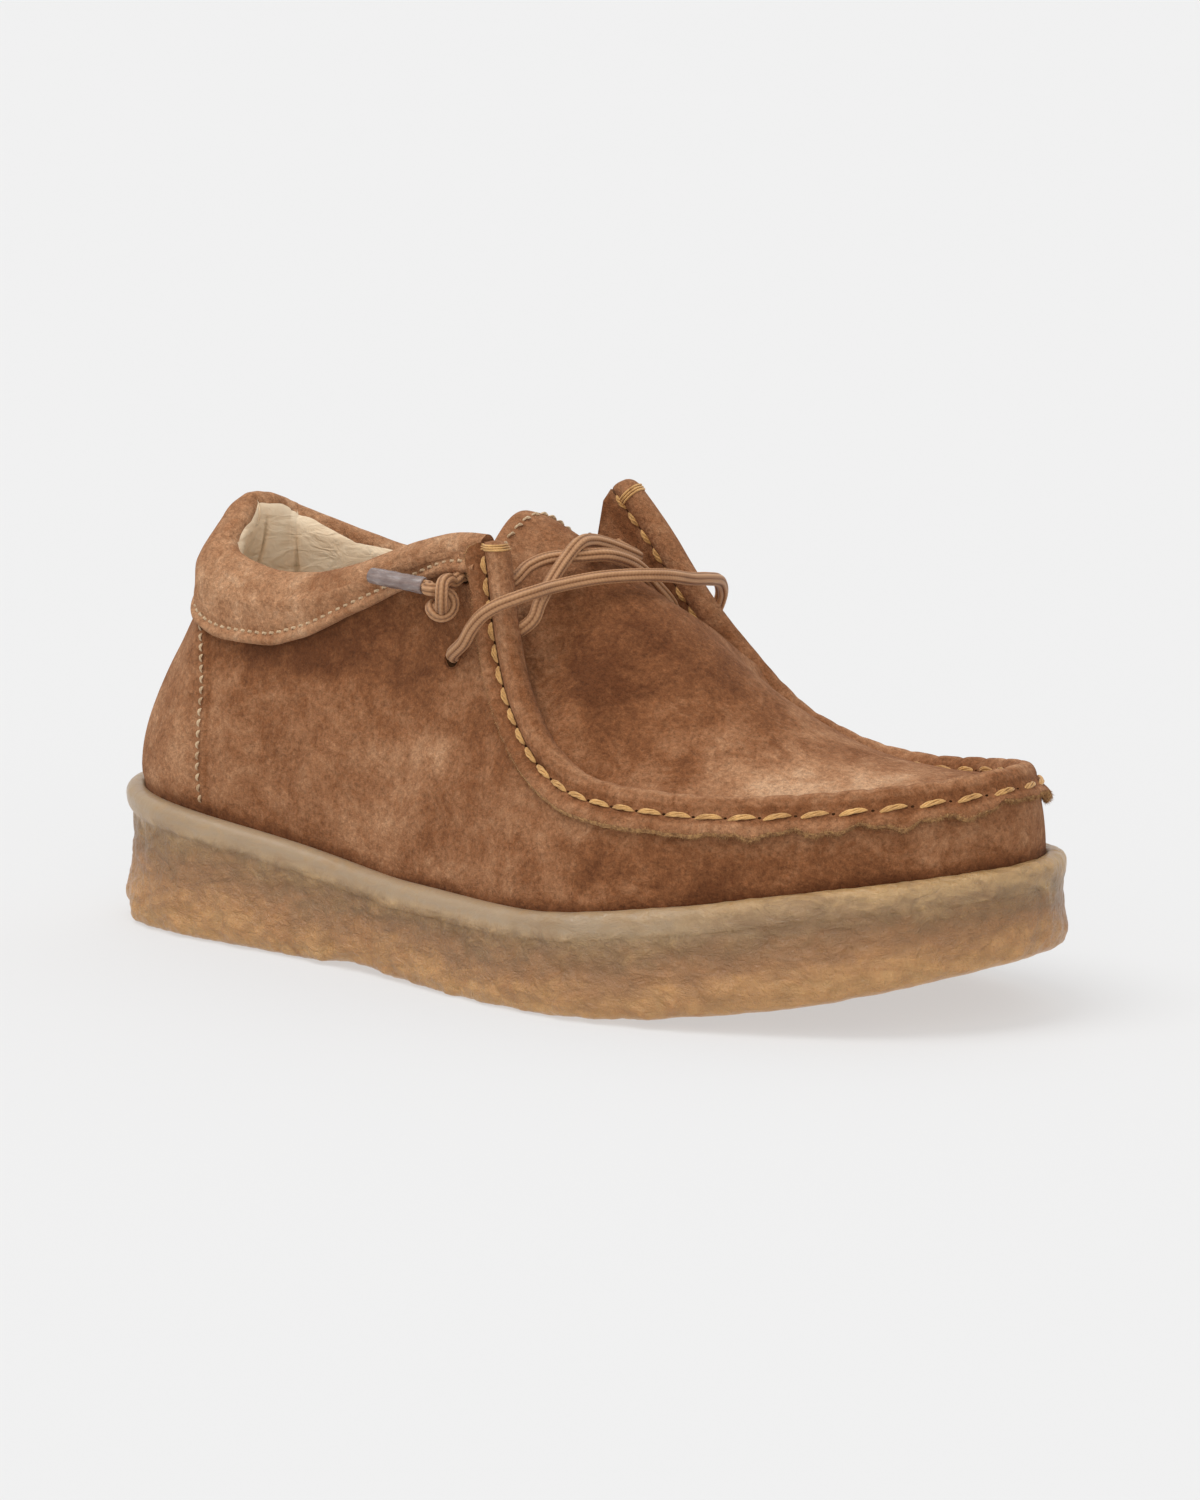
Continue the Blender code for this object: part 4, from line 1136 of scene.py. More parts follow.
# The overhand knot outside an upper eyelet, in the shoe's directions: forward, outward and up from the
# middle of its ring, as multiples of the lace's diameter
KNOT_POINTS = table(
    "forward outward up",
    (0.80, -0.50, 1.55),
    (0.46, 0.10, 1.78),
    (0.10, 0.85, 1.62),
    (0.02, 1.18, 1.00),
    (0.00, 1.12, 0.25),
    (0.00, 0.62, -0.22),
    (-0.06, -0.30, -0.20),
    (-0.48, -0.52, -0.10),
    (-0.74, -0.08, -0.34),
    (-0.42, 0.14, -0.74),
    (0.10, 0.16, -0.84),
    (0.58, 0.08, -0.58),
    (0.80, 0.00, -0.06),
    (0.66, -0.02, 0.50),
    (0.22, -0.02, 0.84),
    (-0.34, 0.00, 0.98),
    (-0.95, 0.04, 1.06),
)
RING_BEHIND = 0.0006
RING_BELOW = 0.0040
KNOT_TURN = math.radians(35)
KNOT_START = 0.0010
KNOT_STEP = 0.0006
# The knotted cord is a little thinner, and runs straight from before its sleeve to near the sleeve's end
KNOT_THINNING = 0.98
BEFORE_SLEEVE = 0.0012
INTO_SLEEVE = 0.0020
SHORT_OF_END = 0.0008
SLEEVE_STEP = 0.0005
SLEEVE_SIDES = 24
SLEEVE_CRUMPLE = 0.05
SLEEVE_OVAL = 0.03
SLEEVE_ENDS = (0.93, 0.90)


def knot_line(side):
    """The cord from an upper eyelet through its knot and into its sleeve."""
    knot = KNOTS[side]
    outward = -1.0 if side == "lateral" else 1.0
    ring = np.array([knot.x - RING_BEHIND, knot.y, knot.z - RING_BELOW])
    forward_axis = np.array([math.cos(KNOT_TURN), -outward * math.sin(KNOT_TURN), 0.0])
    outward_axis = np.array([math.sin(KNOT_TURN), outward * math.cos(KNOT_TURN), 0.0])
    mouth, normal = eyelet_place(side + "_upper")
    points = [mouth + normal * KNOT_START]
    for point in KNOT_POINTS:
        place = point.forward * forward_axis + point.outward * outward_axis
        points.append(ring + LACE * (place + np.array([0.0, 0.0, point.up])))
    start = np.array(knot.sleeve_start)
    end = np.array(knot.sleeve_end)
    inwards = unit(end - start)
    points.append(start - inwards * BEFORE_SLEEVE)
    points.append(start + inwards * INTO_SLEEVE)
    points.append((start + end) / 2)
    points.append(end - inwards * SHORT_OF_END)
    return smooth_line(points, KNOT_STEP)


def make_sleeve(side):
    """The shrunk sleeve on one end of the lace, a little crumpled and tighter at its ends."""
    line = even(np.array([KNOTS[side].sleeve_start, KNOTS[side].sleeve_end]), SLEEVE_STEP)
    along = distances(line)
    radius = SLEEVE_DIAMETER / 2 * (1 + SLEEVE_CRUMPLE * np.sin(along * 1100) * np.sin(along * 430 + 1.0))
    radius[0] *= SLEEVE_ENDS[0]
    radius[-1] *= SLEEVE_ENDS[1]
    body = Body()
    add_tube(body, line, radius, SLEEVE_SIDES, lambda angles: 1 + SLEEVE_OVAL * np.sin(3 * angles))
    return body.make("sleeve_" + side + "_film", [SLEEVE], node="sleeve_" + side, slot="sleeve")


def make_knot(side):
    """The knotted end of the lace, with its sleeve on it."""
    line = knot_line(side)
    body = Body()
    add_tube(body, line, LACE / 2 * KNOT_THINNING, LACE_SIDES, rib_shape)
    cord = body.make("knot_" + side + "_cord", [CORD], node="knot_" + side, slot="cord", sharp=70)
    cover = make_sleeve(side)


# Camera, floor and light


CAMERA_PLACE = (0.84300, -1.20450, 0.31807)
CAMERA_YAW = 0.604341
CAMERA_PITCH = 0.177259
CAMERA_LENS = 179.4
CAMERA_FILM = 36
CAMERA_NEAR = 0.05


def make_camera():
    """Looks from 1.5 m away, a little above the shoe, from the front of its outer side."""
    data = bpy.data.cameras.new("camera")
    data.sensor_fit = "HORIZONTAL"
    data.sensor_width = CAMERA_FILM
    data.lens = CAMERA_LENS
    data.clip_start = CAMERA_NEAR
    camera = put("camera", data)
    level = math.cos(CAMERA_PITCH)
    right = Vector((math.cos(CAMERA_YAW), math.sin(CAMERA_YAW), 0))
    back = Vector((math.sin(CAMERA_YAW) * level, -math.cos(CAMERA_YAW) * level, math.sin(CAMERA_PITCH)))
    rotation = Matrix((right, back.cross(right), back)).transposed().to_4x4()
    camera.matrix_world = Matrix.Translation(CAMERA_PLACE) @ rotation
    bpy.context.scene.camera = camera


# The floor's own grey, and how much it glows so that its shadows stay faint. Sky is the light from all
# round, and backdrop the grey behind the floor's far edge.
FLOOR_GREY = 0.30
FLOOR_GLOW = 0.512
SKY = 0.60
BACKDROP = 0.880
FLOOR_REACH = 60.0
BACKDROP_TOP = 12.0
# Soft suns: azimuth is from +X towards +Y, and width the angle that each fills, all in degrees
SUNS = table(
    "name azimuth elevation strength width",
    ("key", -120, 66, 1.50, 40),
    ("side", -50, 28, 0.55, 50),
    ("back", 100, 55, 0.35, 50),
)


def make_sun(sun):
    data = bpy.data.lights.new(sun.name, "SUN")
    data.energy = sun.strength
    data.angle = math.radians(sun.width)
    a, e = math.radians(sun.azimuth), math.radians(sun.elevation)
    towards = Vector((math.cos(a) * math.cos(e), math.sin(a) * math.cos(e), math.sin(e)))
    put(sun.name, data).rotation_euler = towards.to_track_quat("Z", "Y").to_euler()


def make_paper(name, points, grey, glow):
    """A flat sheet of the studio, in a paper that glows a little."""
    mesh = bpy.data.meshes.new(name)
    mesh.from_pydata(points, [], [(0, 1, 2, 3)])
    look = Look(
        name + "_paper",
        Roughness=1.0,
        Specular_IOR_Level=0.0,
        Emission_Color=(1, 1, 1, 1),
        Emission_Strength=glow,
    )
    look.colour(look.ramp(look.noise(0.4, detail=2.0), (0.0, (grey,) * 3), (1.0, (grey + 0.004,) * 3)))
    mesh.materials.append(look.material)
    put(name, mesh)


def make_studio():
    """A wide pale floor before a pale backdrop, with soft light mostly from above."""
    r, top = FLOOR_REACH, BACKDROP_TOP
    make_paper("floor", [(-r, -r, 0), (r, -r, 0), (r, r, 0), (-r, r, 0)], FLOOR_GREY, FLOOR_GLOW)
    make_paper("backdrop", [(-r, r, -1), (r, r, -1), (r, r, top), (-r, r, top)], 0.0, BACKDROP)
    world = bpy.data.worlds.new("studio")
    world.use_nodes = True
    world.node_tree.nodes["Background"].inputs["Color"].default_value = (1.0, 1.0, 1.0, 1)
    world.node_tree.nodes["Background"].inputs["Strength"].default_value = SKY
    bpy.context.scene.world = world
    for sun in SUNS:
        make_sun(sun)
    bpy.context.scene.view_settings.view_transform = "Standard"


# Sole


# The sole from its bottom edge up into its recess: how far in, how much of the side's hollow, the share of
# the way from the ground to the lip, and what rises above that
SOLE_ROWS = table(
    "inset hollow lip_share rise",
    (0.0070, 0.0, 0.00, 0.0000),
    (0.0030, 0.0, 0.00, 0.0002),
    (0.0010, 0.0, 0.00, 0.0012),
    (0.0002, 0.0, 0.00, 0.0034),
    (0.0000, 0.0, 0.18, 0.0020),
    (0.0002, 0.6, 0.45, 0.0000),
    (0.0003, 1.0, 0.70, 0.0000),
    (0.0002, 0.6, 1.00, -0.0036),
    (0.0000, 0.1, 1.00, -0.0014),
    (0.0000, 0.0, 1.00, 0.0006),
    (0.0005, 0.0, 1.00, 0.0019),
    (0.0014, 0.0, 1.00, 0.0027),
    (0.0028, 0.0, 1.00, 0.0031),
    (0.0044, 0.0, 1.00, 0.0029),
    (0.0052, 0.0, 1.00, 0.0012),
    (0.0052, 0.0, 1.00, -0.0012),
)
# How hollow the sole's side is, at the heel and at the toe
HOLLOW = curve((-0.135, -0.090, 0.020, 0.135), (0.0018, 0.0011, 0.0005, 0.0004))
SOLE_COLUMNS = 1100
SOLE_FINE_ROWS = 66
# The milky lip: the share of the side's height at which it starts, how much lower it starts at the toe, the
# reach of its blend, and how much of it fades towards the toe
MILK_FROM = 0.83
MILK_LOWERED = 0.12
MILK_BLEND = 0.13
MILK_FADE = 0.75
# The lumps of crepe: how deep each size is on the side and along the foot
CREPE = table(
    "size seed side foot",
    (0.0044, 3, 0.00040, 0.00030),
    (0.0110, 5, 0.00040, 0.00055),
    (0.0026, 9, 0.00022, 0.00000),
)
LIP_WAVE = 0.00010
LIP_WAVE_LENGTH = 0.022
SOLE_CAP_ROWS = 15


def sole_surface():
    """The sole's points in rows round it, each one's share of the side's height, and the normals."""
    shares = np.arange(SOLE_COLUMNS) / SOLE_COLUMNS
    edge, inward = outline(shares)
    low = ground(edge[:, 0], edge[:, 1])
    lip = LIP_HEIGHT(edge[:, 0])
    profile = np.array([[row.inset, row.lip_share, row.rise, row.hollow] for row in SOLE_ROWS])
    weights = (1, 0.02, 1, 0)
    steps = distances(profile * weights)
    fine = np.linspace(0, steps[-1], SOLE_FINE_ROWS)
    inset, lip_share, rise, hollow = (curve(steps, profile[:, k])(fine)[:, None] for k in range(4))
    inset = inset + hollow * HOLLOW(edge[:, 0])[None]
    flat = edge[None] + inward[None] * inset[..., None]
    height = low[None] * (1 - lip_share) + lip[None] * lip_share + rise
    under = ground(flat[..., 0], flat[..., 1])
    height = np.where(lip_share == 0, np.maximum(height - low[None] + under, under), height)
    points = np.concatenate([flat, height[..., None]], -1)
    normals = grid_normals(points, closed=True)
    side_row = SOLE_FINE_ROWS * 2 // 5
    normals *= np.sign((normals[side_row, :, :2] * -inward).sum(1).mean())
    return points, (height - low) / (lip + LIP_RISE - low), normals


def sole_relief(points, share, crepe, toe):
    """How far the crepe's lumps and the lip's soft waves stand out."""
    side, foot = np.zeros(share.shape), np.zeros(share.shape)
    for lumps in CREPE:
        field = roughness_at(points, lumps.size, lumps.seed)
        side += lumps.side * field
        foot += lumps.foot * field
    waves = smoothstep(0.75, 0.9, share) * LIP_WAVE * roughness_at(points, LIP_WAVE_LENGTH, 8, 1)
    return crepe * side * (1 - 0.35 * toe) + bell(share, 0.10, 0.14) * foot + waves


def recess_floor(x, _):
    """The height of the recess that the upper stands in. It is level across the sole."""
    return LIP_HEIGHT(x) + SOLE_ROWS[-1].rise


def close_sole(body, ring, height_at, **values):
    """Closes the sole inside a ring, with rungs from its lateral to its medial half."""
    half = SOLE_COLUMNS // 2
    left = ring[: half + 1]
    right = np.concatenate([ring[:1], ring[: half - 1 : -1]])
    t = np.linspace(0, 1, SOLE_CAP_ROWS)[:, None, None]
    cap = left[None] * (1 - t) + right[None] * t
    cap[1:-1, :, 2] = height_at(cap[1:-1, :, 0], cap[1:-1, :, 1])
    body.grid(cap, **values)


def make_sole():
    """The gum sole, with its crepe relief and the closing faces below and in its recess."""
    points, share, normals = sole_surface()
    x = points[..., 0]
    toe = smoothstep(0.0, 0.11, x)
    crepe = smoothstep(0.0, 0.06, share) * (1 - (1 - 0.6 * toe) * smoothstep(0.74, 0.88, share))
    milk_from = MILK_FROM - MILK_LOWERED * smoothstep(-0.02, 0.10, x)
    milk = smoothstep(milk_from - MILK_BLEND, milk_from + MILK_BLEND, share)
    milk = milk * (1 - MILK_FADE * smoothstep(0.02, 0.11, x))
    points = points + normals * sole_relief(points, share, crepe, toe)[..., None]
    points[..., 2] = np.maximum(points[..., 2], 0.0)
    body = Body()
    body.grid(points, closed=True, height=share, crepe=0.15 + 0.85 * crepe, milk=milk)
    close_sole(body, points[0], ground, height=0.0, crepe=1.0, milk=0.0)
    close_sole(body, points[-1], recess_floor, height=0.9, crepe=0.3, milk=1.0)
    body.make("gum_sole", [GUM], node="outsole", slot="gum")


# The footbed's edge, sections and rungs, how far its edge curls up, and where a foot has worn and soiled it
FOOTBED_GAP = 0.0004
FOOTBED_SECTIONS = 240
FOOTBED_RUNGS = 31
FOOTBED_CURL = 0.0012
FOOTBED_DEPTH = 0.0030
Wear = namedtuple("Wear", "x reach depth")
WORN = (Wear(-0.095, 0.035, 0.0005), Wear(0.045, 0.040, 0.0005))
HEEL_DIRT = Wear(-0.095, 0.030, 0.5)


def make_footbed():
    """The footbed, curled up at its edge, worn and soiled where a foot stands."""
    inset = np.full(FOOTBED_SECTIONS, LIP_INSET + WALL + FOOTBED_GAP)
    t = np.linspace(0, 1, FOOTBED_SECTIONS)
    left, _ = outline(TIP * t, inset)
    right, _ = outline(1 - (1 - TIP) * t, inset)
    across = np.linspace(0, 1, FOOTBED_RUNGS)
    flat = left[:, None] * (1 - across)[None, :, None] + right[:, None] * across[None, :, None]
    x = flat[..., 0]
    aside = 2 * across - 1
    worn = sum(place.depth * bell(x, place.x, place.reach) for place in WORN) * (1 - aside**2)
    top = lip_top(x) - RECESS_DEPTH + GAP + INSOLE_THICKNESS + FOOTBED_CURL * aside**6 - worn
    outer = np.concatenate([flat, top[..., None]], -1)
    inner = outer - np.array([0, 0, FOOTBED_DEPTH])
    dirt = -HEEL_DIRT.depth * bell(x, HEEL_DIRT.x, HEEL_DIRT.reach) * (1 - aside**2)
    Body().sheet(outer, inner, tone=dirt).make("footbed", [FOOTBED], node="insole", slot="lining")


# Upper


# Troughs and ridges of the wall: where they are, which way they run, how wide and how deep
CREASES = table(
    "side x z along rise width depth",
    ("lateral", -0.098, 0.052, -0.10, 1.00, 0.0045, -0.0005),
    ("lateral", -0.085, 0.048, 0.20, 1.00, 0.0050, 0.0005),
    ("lateral", -0.072, 0.046, -0.15, 1.00, 0.0060, -0.0006),
    ("lateral", -0.055, 0.050, 0.30, 1.00, 0.0060, 0.0005),
    ("lateral", -0.030, 0.046, 0.80, 0.60, 0.0060, -0.0007),
    ("lateral", -0.012, 0.048, 1.00, 0.35, 0.0050, 0.0006),
    ("lateral", 0.008, 0.040, 1.00, 0.15, 0.0045, -0.0006),
    ("lateral", -0.045, 0.074, 1.00, 0.40, 0.0060, -0.0005),
    ("lateral", -0.080, 0.070, 1.00, -0.20, 0.0050, -0.0005),
    ("lateral", 0.060, 0.036, 1.00, 0.10, 0.0040, -0.0003),
    ("medial", -0.095, 0.052, 0.05, 1.00, 0.0050, -0.0005),
    ("medial", -0.060, 0.048, -0.20, 1.00, 0.0060, 0.0005),
    ("medial", -0.025, 0.050, 0.90, 0.40, 0.0060, -0.0007),
    ("medial", 0.010, 0.045, 1.00, 0.25, 0.0050, 0.0006),
    ("medial", 0.035, 0.042, 1.00, 0.10, 0.0045, -0.0005),
    ("medial", -0.040, 0.074, 1.00, 0.30, 0.0060, -0.0005),
)
CREASE_LENGTH = 0.016
# Darker and lighter places of the nap, with their reach along the shoe and up it. The dark band below the
# collar's lower edge is painted shade under the padded collar, and the dark places low on the vamp are partly
# painted shade, partly the nap's own tone.
NAP_AND_SHADE_PATCHES = table(
    "side x z reach rise tone",
    ("lateral", -0.112, 0.0480, 0.012, 0.022, 0.5),
    # Painted shade below the collar's lower edge
    ("lateral", -0.069, 0.0774, 0.022, 0.007, -1.1),
    ("lateral", -0.043, 0.0798, 0.020, 0.008, -0.9),
    ("lateral", -0.028, 0.0891, 0.016, 0.008, -0.6),
    ("lateral", -0.025, 0.0705, 0.014, 0.010, -0.4),
    ("lateral", -0.054, 0.0643, 0.012, 0.010, 0.2),
    ("lateral", -0.077, 0.0423, 0.012, 0.007, 0.2),
    ("lateral", -0.039, 0.0500, 0.014, 0.010, 0.25),
    ("lateral", -0.013, 0.0561, 0.010, 0.008, 0.4),
    ("lateral", 0.0015, 0.0703, 0.008, 0.010, -0.3),
    # Darker low on the vamp, above the sole: partly painted shade, partly the nap's own tone
    ("lateral", 0.041, 0.0381, 0.020, 0.006, -0.45),
    ("lateral", 0.068, 0.0372, 0.020, 0.006, -0.6),
    ("lateral", 0.092, 0.0415, 0.018, 0.008, -0.4),
    ("lateral", 0.108, 0.0388, 0.014, 0.005, -0.15),
    ("lateral", 0.117, 0.0474, 0.012, 0.006, 0.3),
    # Painted shade below the collar's lower edge
    ("medial", -0.060, 0.080, 0.030, 0.008, -0.8),
    ("medial", -0.045, 0.050, 0.016, 0.012, 0.5),
    # Darker low on the vamp, above the sole: partly painted shade, partly the nap's own tone
    ("medial", 0.050, 0.038, 0.030, 0.008, -0.6),
    ("medial", 0.100, 0.040, 0.022, 0.008, -0.7),
)
# The x of the stitches along the heel strip's edge, by height above the lip, on both sides. The strip
# stands up by STRIP_STEP, as far as STRIP_EDGE before the stitches, and they pull a groove into it.
HEEL_SEAM = curve((0.0, 0.010, 0.030, 0.040, 0.050), (-0.0938, -0.0949, -0.0953, -0.0975, -0.1010))
STRIP_STEP = 0.0007
STRIP_EDGE = 0.0012
STITCH_GROOVE = 0.00025
SUEDE_WAVE = 0.00022
EYELET_DIMPLE = 0.0006
DIMPLE_REACH = 0.0042
QUARTER_ROWS = 46
COLLAR_COLUMNS = 120
EYESTAY_COLUMNS = 46
APRON_COLUMNS = 130


def quarter_relief(side, points):
    """The soft troughs and ridges of the side wall, placed as listed."""
    x, z = points[..., 0], points[..., 2]
    total = np.zeros(x.shape)
    for crease in CREASES:
        if crease.side != side:
            continue
        run = unit(np.array([crease.along, crease.rise]))
        along = (x - crease.x) * run[0] + (z - crease.z) * run[1]
        aside = -(x - crease.x) * run[1] + (z - crease.z) * run[0]
        total += crease.depth * bell(along, 0, CREASE_LENGTH) * bell(aside, 0, crease.width)
    return total


def tone_at(side, points):
    x, z = points[..., 0], points[..., 2]
    total = np.zeros(x.shape)
    for patch in NAP_AND_SHADE_PATCHES:
        if patch.side == side:
            total += patch.tone * bell(x, patch.x, patch.reach) * bell(z, patch.z, patch.rise)
    return total


# The collar's stretch of the wall ends just short of the eyestay's top, a little lower. The columns' feet
# start behind that corner and reach ahead of the throat, so that the mesh fans out.
CORNER_SHARE = 0.012
CORNER_BELOW = 0.0030
FEET_BEHIND = 0.008
FEET_AHEAD = 0.006


def quarter_columns(side):
    """(u, h) at the foot and the top of each column of one half's wall, from heel to tip."""
    first = past_heel(side)
    u_at, h_at, throat, end = seam_path(side)
    places = np.concatenate(
        [np.linspace(0, throat, EYESTAY_COLUMNS, endpoint=False), np.linspace(throat, end, APRON_COLUMNS + 1)]
    )
    corner = u_at(0.0) + (first - u_at(0.0)) * CORNER_SHARE
    collar_u = first + (corner - first) * np.arange(COLLAR_COLUMNS) / (COLLAR_COLUMNS - 1)
    collar_h = collar_height(side, collar_u, "top") - TOP_BELOW_COLLAR
    collar_h[-1] = h_at(0.0) - CORNER_BELOW
    top = np.stack([np.concatenate([collar_u, u_at(places)]), np.concatenate([collar_h, h_at(places)])], 1)
    corner_x = EYESTAY[side][0].x - FEET_BEHIND
    throat_x = EYESTAY[side][-1].x + FEET_AHEAD
    stops = [first, share_at(side, corner_x), share_at(side, throat_x), TIP]
    counts = [0, COLLAR_COLUMNS, COLLAR_COLUMNS + EYESTAY_COLUMNS, len(top) - 1]
    foot_u = np.interp(np.arange(len(top)), counts, stops)
    foot = np.stack([foot_u, np.full(len(top), GAP - RECESS_DEPTH)], 1)
    return foot, top


# The lace pulls to one side of the holes that it shows beside
EYELET_SHIFT = {"lateral_lower": (-0.0013, 0.0, -0.0010), "lateral_upper": (0.0004, 0.0, 0.0)}


def eyelet_dip(points, side):
    """How near each point is to an eyelet, from 0 to 1, for the dimple that the lace pulls."""
    total = np.zeros(points.shape[:-1])
    for name, eyelet in EYELETS.items():
        if eyelet.side == side:
            middle, _ = eyelet_place(name)
            away = np.linalg.norm(points - middle, axis=-1)
            total += bell(away, 0, DIMPLE_REACH)
    return total


def make_quarters():
    """Both halves of the upper's wall, from the heel strip to the tip, and the eyelets in them."""
    body = Body()
    for side in SIDES:
        foot, top = quarter_columns(side)
        t = np.linspace(0, 1, QUARTER_ROWS)[:, None, None]
        place = foot[None] * (1 - t) + top[None] * t
        u, h = place[..., 0], place[..., 1]
        bare = wall(u, h)
        x = bare[..., 0]
        edge = HEEL_SEAM(h) + STRIP_EDGE
        strip = 1 - smoothstep(edge - 0.0005, edge + 0.0004, x)
        relief = quarter_relief(side, bare) + STRIP_STEP * strip
        relief -= STITCH_GROOVE * bell(x, edge - 0.0022, 0.0011)
        relief += SUEDE_WAVE * roughness_at(bare, 0.018, 11, 2)
        relief -= EYELET_DIMPLE * eyelet_dip(bare, side)
        relief *= smoothstep(0.0, 0.004, h)
        # Painted shadow on the wall beside the heel strip's raised edge; the wall is also darker at its foot,
        # next to the sole
        tone = tone_at(side, bare) - 0.55 * bell(x, edge + 0.0009, 0.0009)
        tone = tone - 0.8 * bell(h, 0.0, 0.0022)
        body.sheet(wall(u, h, relief), wall(u, h, -WALL), tone=tone)
    body.make("quarters", [SUEDE], node="upper", slot="suede")
    for name in EYELETS:
        cut_eyelet(name)


HOLE_SIDES = 32
# The rings of a punched hole: their size as a share of its radius, and their depth
HOLE_RINGS = table(
    "size depth",
    (1.35, -0.0010),
    (1.20, -0.0003),
    (1.08, 0.0000),
    (1.00, -0.0001),
    (0.96, -0.0003),
)


def cut_eyelet(name):
    """A punched hole: the rim of the leather round it, darkened with painted shade, and a dark disc of
    painted shade inside.
    """
    middle, normal = eyelet_place(name)
    middle = middle + np.array(EYELET_SHIFT.get(name, (0, 0, 0)))
    side = unit(np.cross(normal, np.array([0.0, 0.0, 1.0])))
    up = np.cross(side, normal)
    angles = np.arange(HOLE_SIDES + 1) * 2 * math.pi / HOLE_SIDES
    circle = np.cos(angles)[:, None] * side + np.sin(angles)[:, None] * up
    rings = [middle + EYELET_RADIUS * ring.size * circle + normal * ring.depth for ring in HOLE_RINGS]
    body = Body()
    # The rim's dark tone is painted shade, and the disc inside stands in for the shade in the hole
    body.grid(np.array(rings), look=0, tone=-0.7)
    centre = np.broadcast_to(middle + normal * HOLE_RINGS[-1].depth, circle.shape)
    body.grid(np.array([rings[-1], centre]), look=1, tone=-1.0)
    body.make("eyelet_" + name, [SUEDE, HOLE_SHADE], node="upper", slot="suede")


# The apron seam


# The flange's section: shares of its width away from the stitches, and how far it stands out
FLANGE_ROWS = table(
    "share out",
    (0.15, 0.00010),
    (0.50, 0.00015),
    (0.85, 0.00020),
    (0.97, 0.00030),
    (1.06, 0.00060),
    (1.07, 0.00110),
    (0.99, 0.00180),
    (0.90, 0.00238),
    (0.78, 0.00252),
    (0.62, 0.00230),
    (0.46, 0.00200),
    (0.30, 0.00160),
    (0.16, 0.00120),
    (0.04, 0.00092),
)
RAW_ROWS = (3, 8)
ROLL_ANGLES = tuple(range(16, 181, 12))
INNER_ANGLES = (196, 214, 234, 256, 280, 304, 326)
SEAM_SPACING = 0.0006
Stations = namedtuple("Stations", "along uv past base normal across up away")
# The distance between stitches grows from the eyestays to the toe
PITCH = curve((-0.060, -0.010, 0.030, 0.070, 0.100, 0.150), (0.0054, 0.0059, 0.0070, 0.0088, 0.0094, 0.0094))
STITCH_LENGTH = 0.0068
STITCH_SHARE = 0.84
FIRST_STITCH = 0.0056
LAST_STITCH = 0.0030
# Everything on the seam thins out over SEAM_END at both of its ends. Two more stretches are distances past
# the throat: where the toe's part begins, and where the seam climbs from the wall onto the apron.
SEAM_END = 0.0042
TOE_PART = (0.030, 0.085)
ON_APRON = (-0.012, 0.016)
SMOOTHING = 7
# The raw edge's waves and crumbs, and what is narrower and higher at the tip
LONG_WAVE = 0.0172
SHORT_WAVE = 0.0071
WAVE_WIDTH = 0.00085
CRUMB_WIDTH = 0.00018
TIP_REACH = 0.012
TIP_NARROWING = 0.42
TIP_RISE = 0.10
HOLE_DIP = 0.00045
# How much painted shade darkens the groove at the stitches, and how much painted highlight lightens the
# roll's top
SEAM_SHADE_AND_HIGHLIGHT = 0.35


def seam_stations():
    """Places along the whole seam, from the lateral eyestay's top round the toe to the medial one's."""
    parts = []
    for side in SIDES:
        u_at, h_at, throat, end = seam_path(side)
        places = np.linspace(0, end, int(end / SEAM_SPACING) + 1)
        parts.append(np.stack([u_at(places), h_at(places), places - throat], 1))
    rows = np.concatenate([parts[0], parts[1][-2::-1]])
    padding = ((SMOOTHING, SMOOTHING), (0, 0))
    padded = np.pad(rows[:, :2], padding, mode="reflect", reflect_type="odd")
    kernel = np.hanning(2 * SMOOTHING + 3)[1:-1]
    uv = np.stack([np.convolve(padded[:, k], kernel / kernel.sum(), "valid") for k in range(2)], 1)
    base = wall(uv[:, 0], uv[:, 1])
    normal = wall_normal(uv[:, 0], uv[:, 1])
    across, up = seam_frames(base, normal, rows[:, 2])
    flat = unit(np.gradient(uv * (PERIMETER, 1), axis=0))
    away = np.stack([flat[:, 1], -flat[:, 0]], 1) / (PERIMETER, 1)
    return Stations(distances(base), uv, rows[:, 2], base, normal, across, up, away)


STATIONS = seam_stations()


def stitch_places():
    """The middle of each stitch and each hole, as distances along the seam."""
    places, at = [], FIRST_STITCH
    end = STATIONS.along[-1] - LAST_STITCH
    while at < end:
        places.append(at)
        at += float(PITCH(np.interp(at, STATIONS.along, STATIONS.past)))
    return np.array(places)


STITCHES = stitch_places()
HOLES = (STITCHES[1:] + STITCHES[:-1]) / 2


def at_seam(values, places):
    """What the stations hold, read off at distances along the seam."""
    if values.ndim == 1:
        return np.interp(places, STATIONS.along, values)
    return along_line(places, STATIONS.along, values)


def wave(along, length, phase=0.0):
    return np.sin(along / length * 2 * math.pi + phase)


def on_wall_part(past):
    """1 beside the throat, where the seam lies on the wall, and 0 where it lies on the apron."""
    return 1 - smoothstep(*ON_APRON, past)[:, None]


def near_holes(width):
    away = np.abs(STATIONS.along[:, None] - HOLES[None]).min(1)
    return bell(away, 0, width)


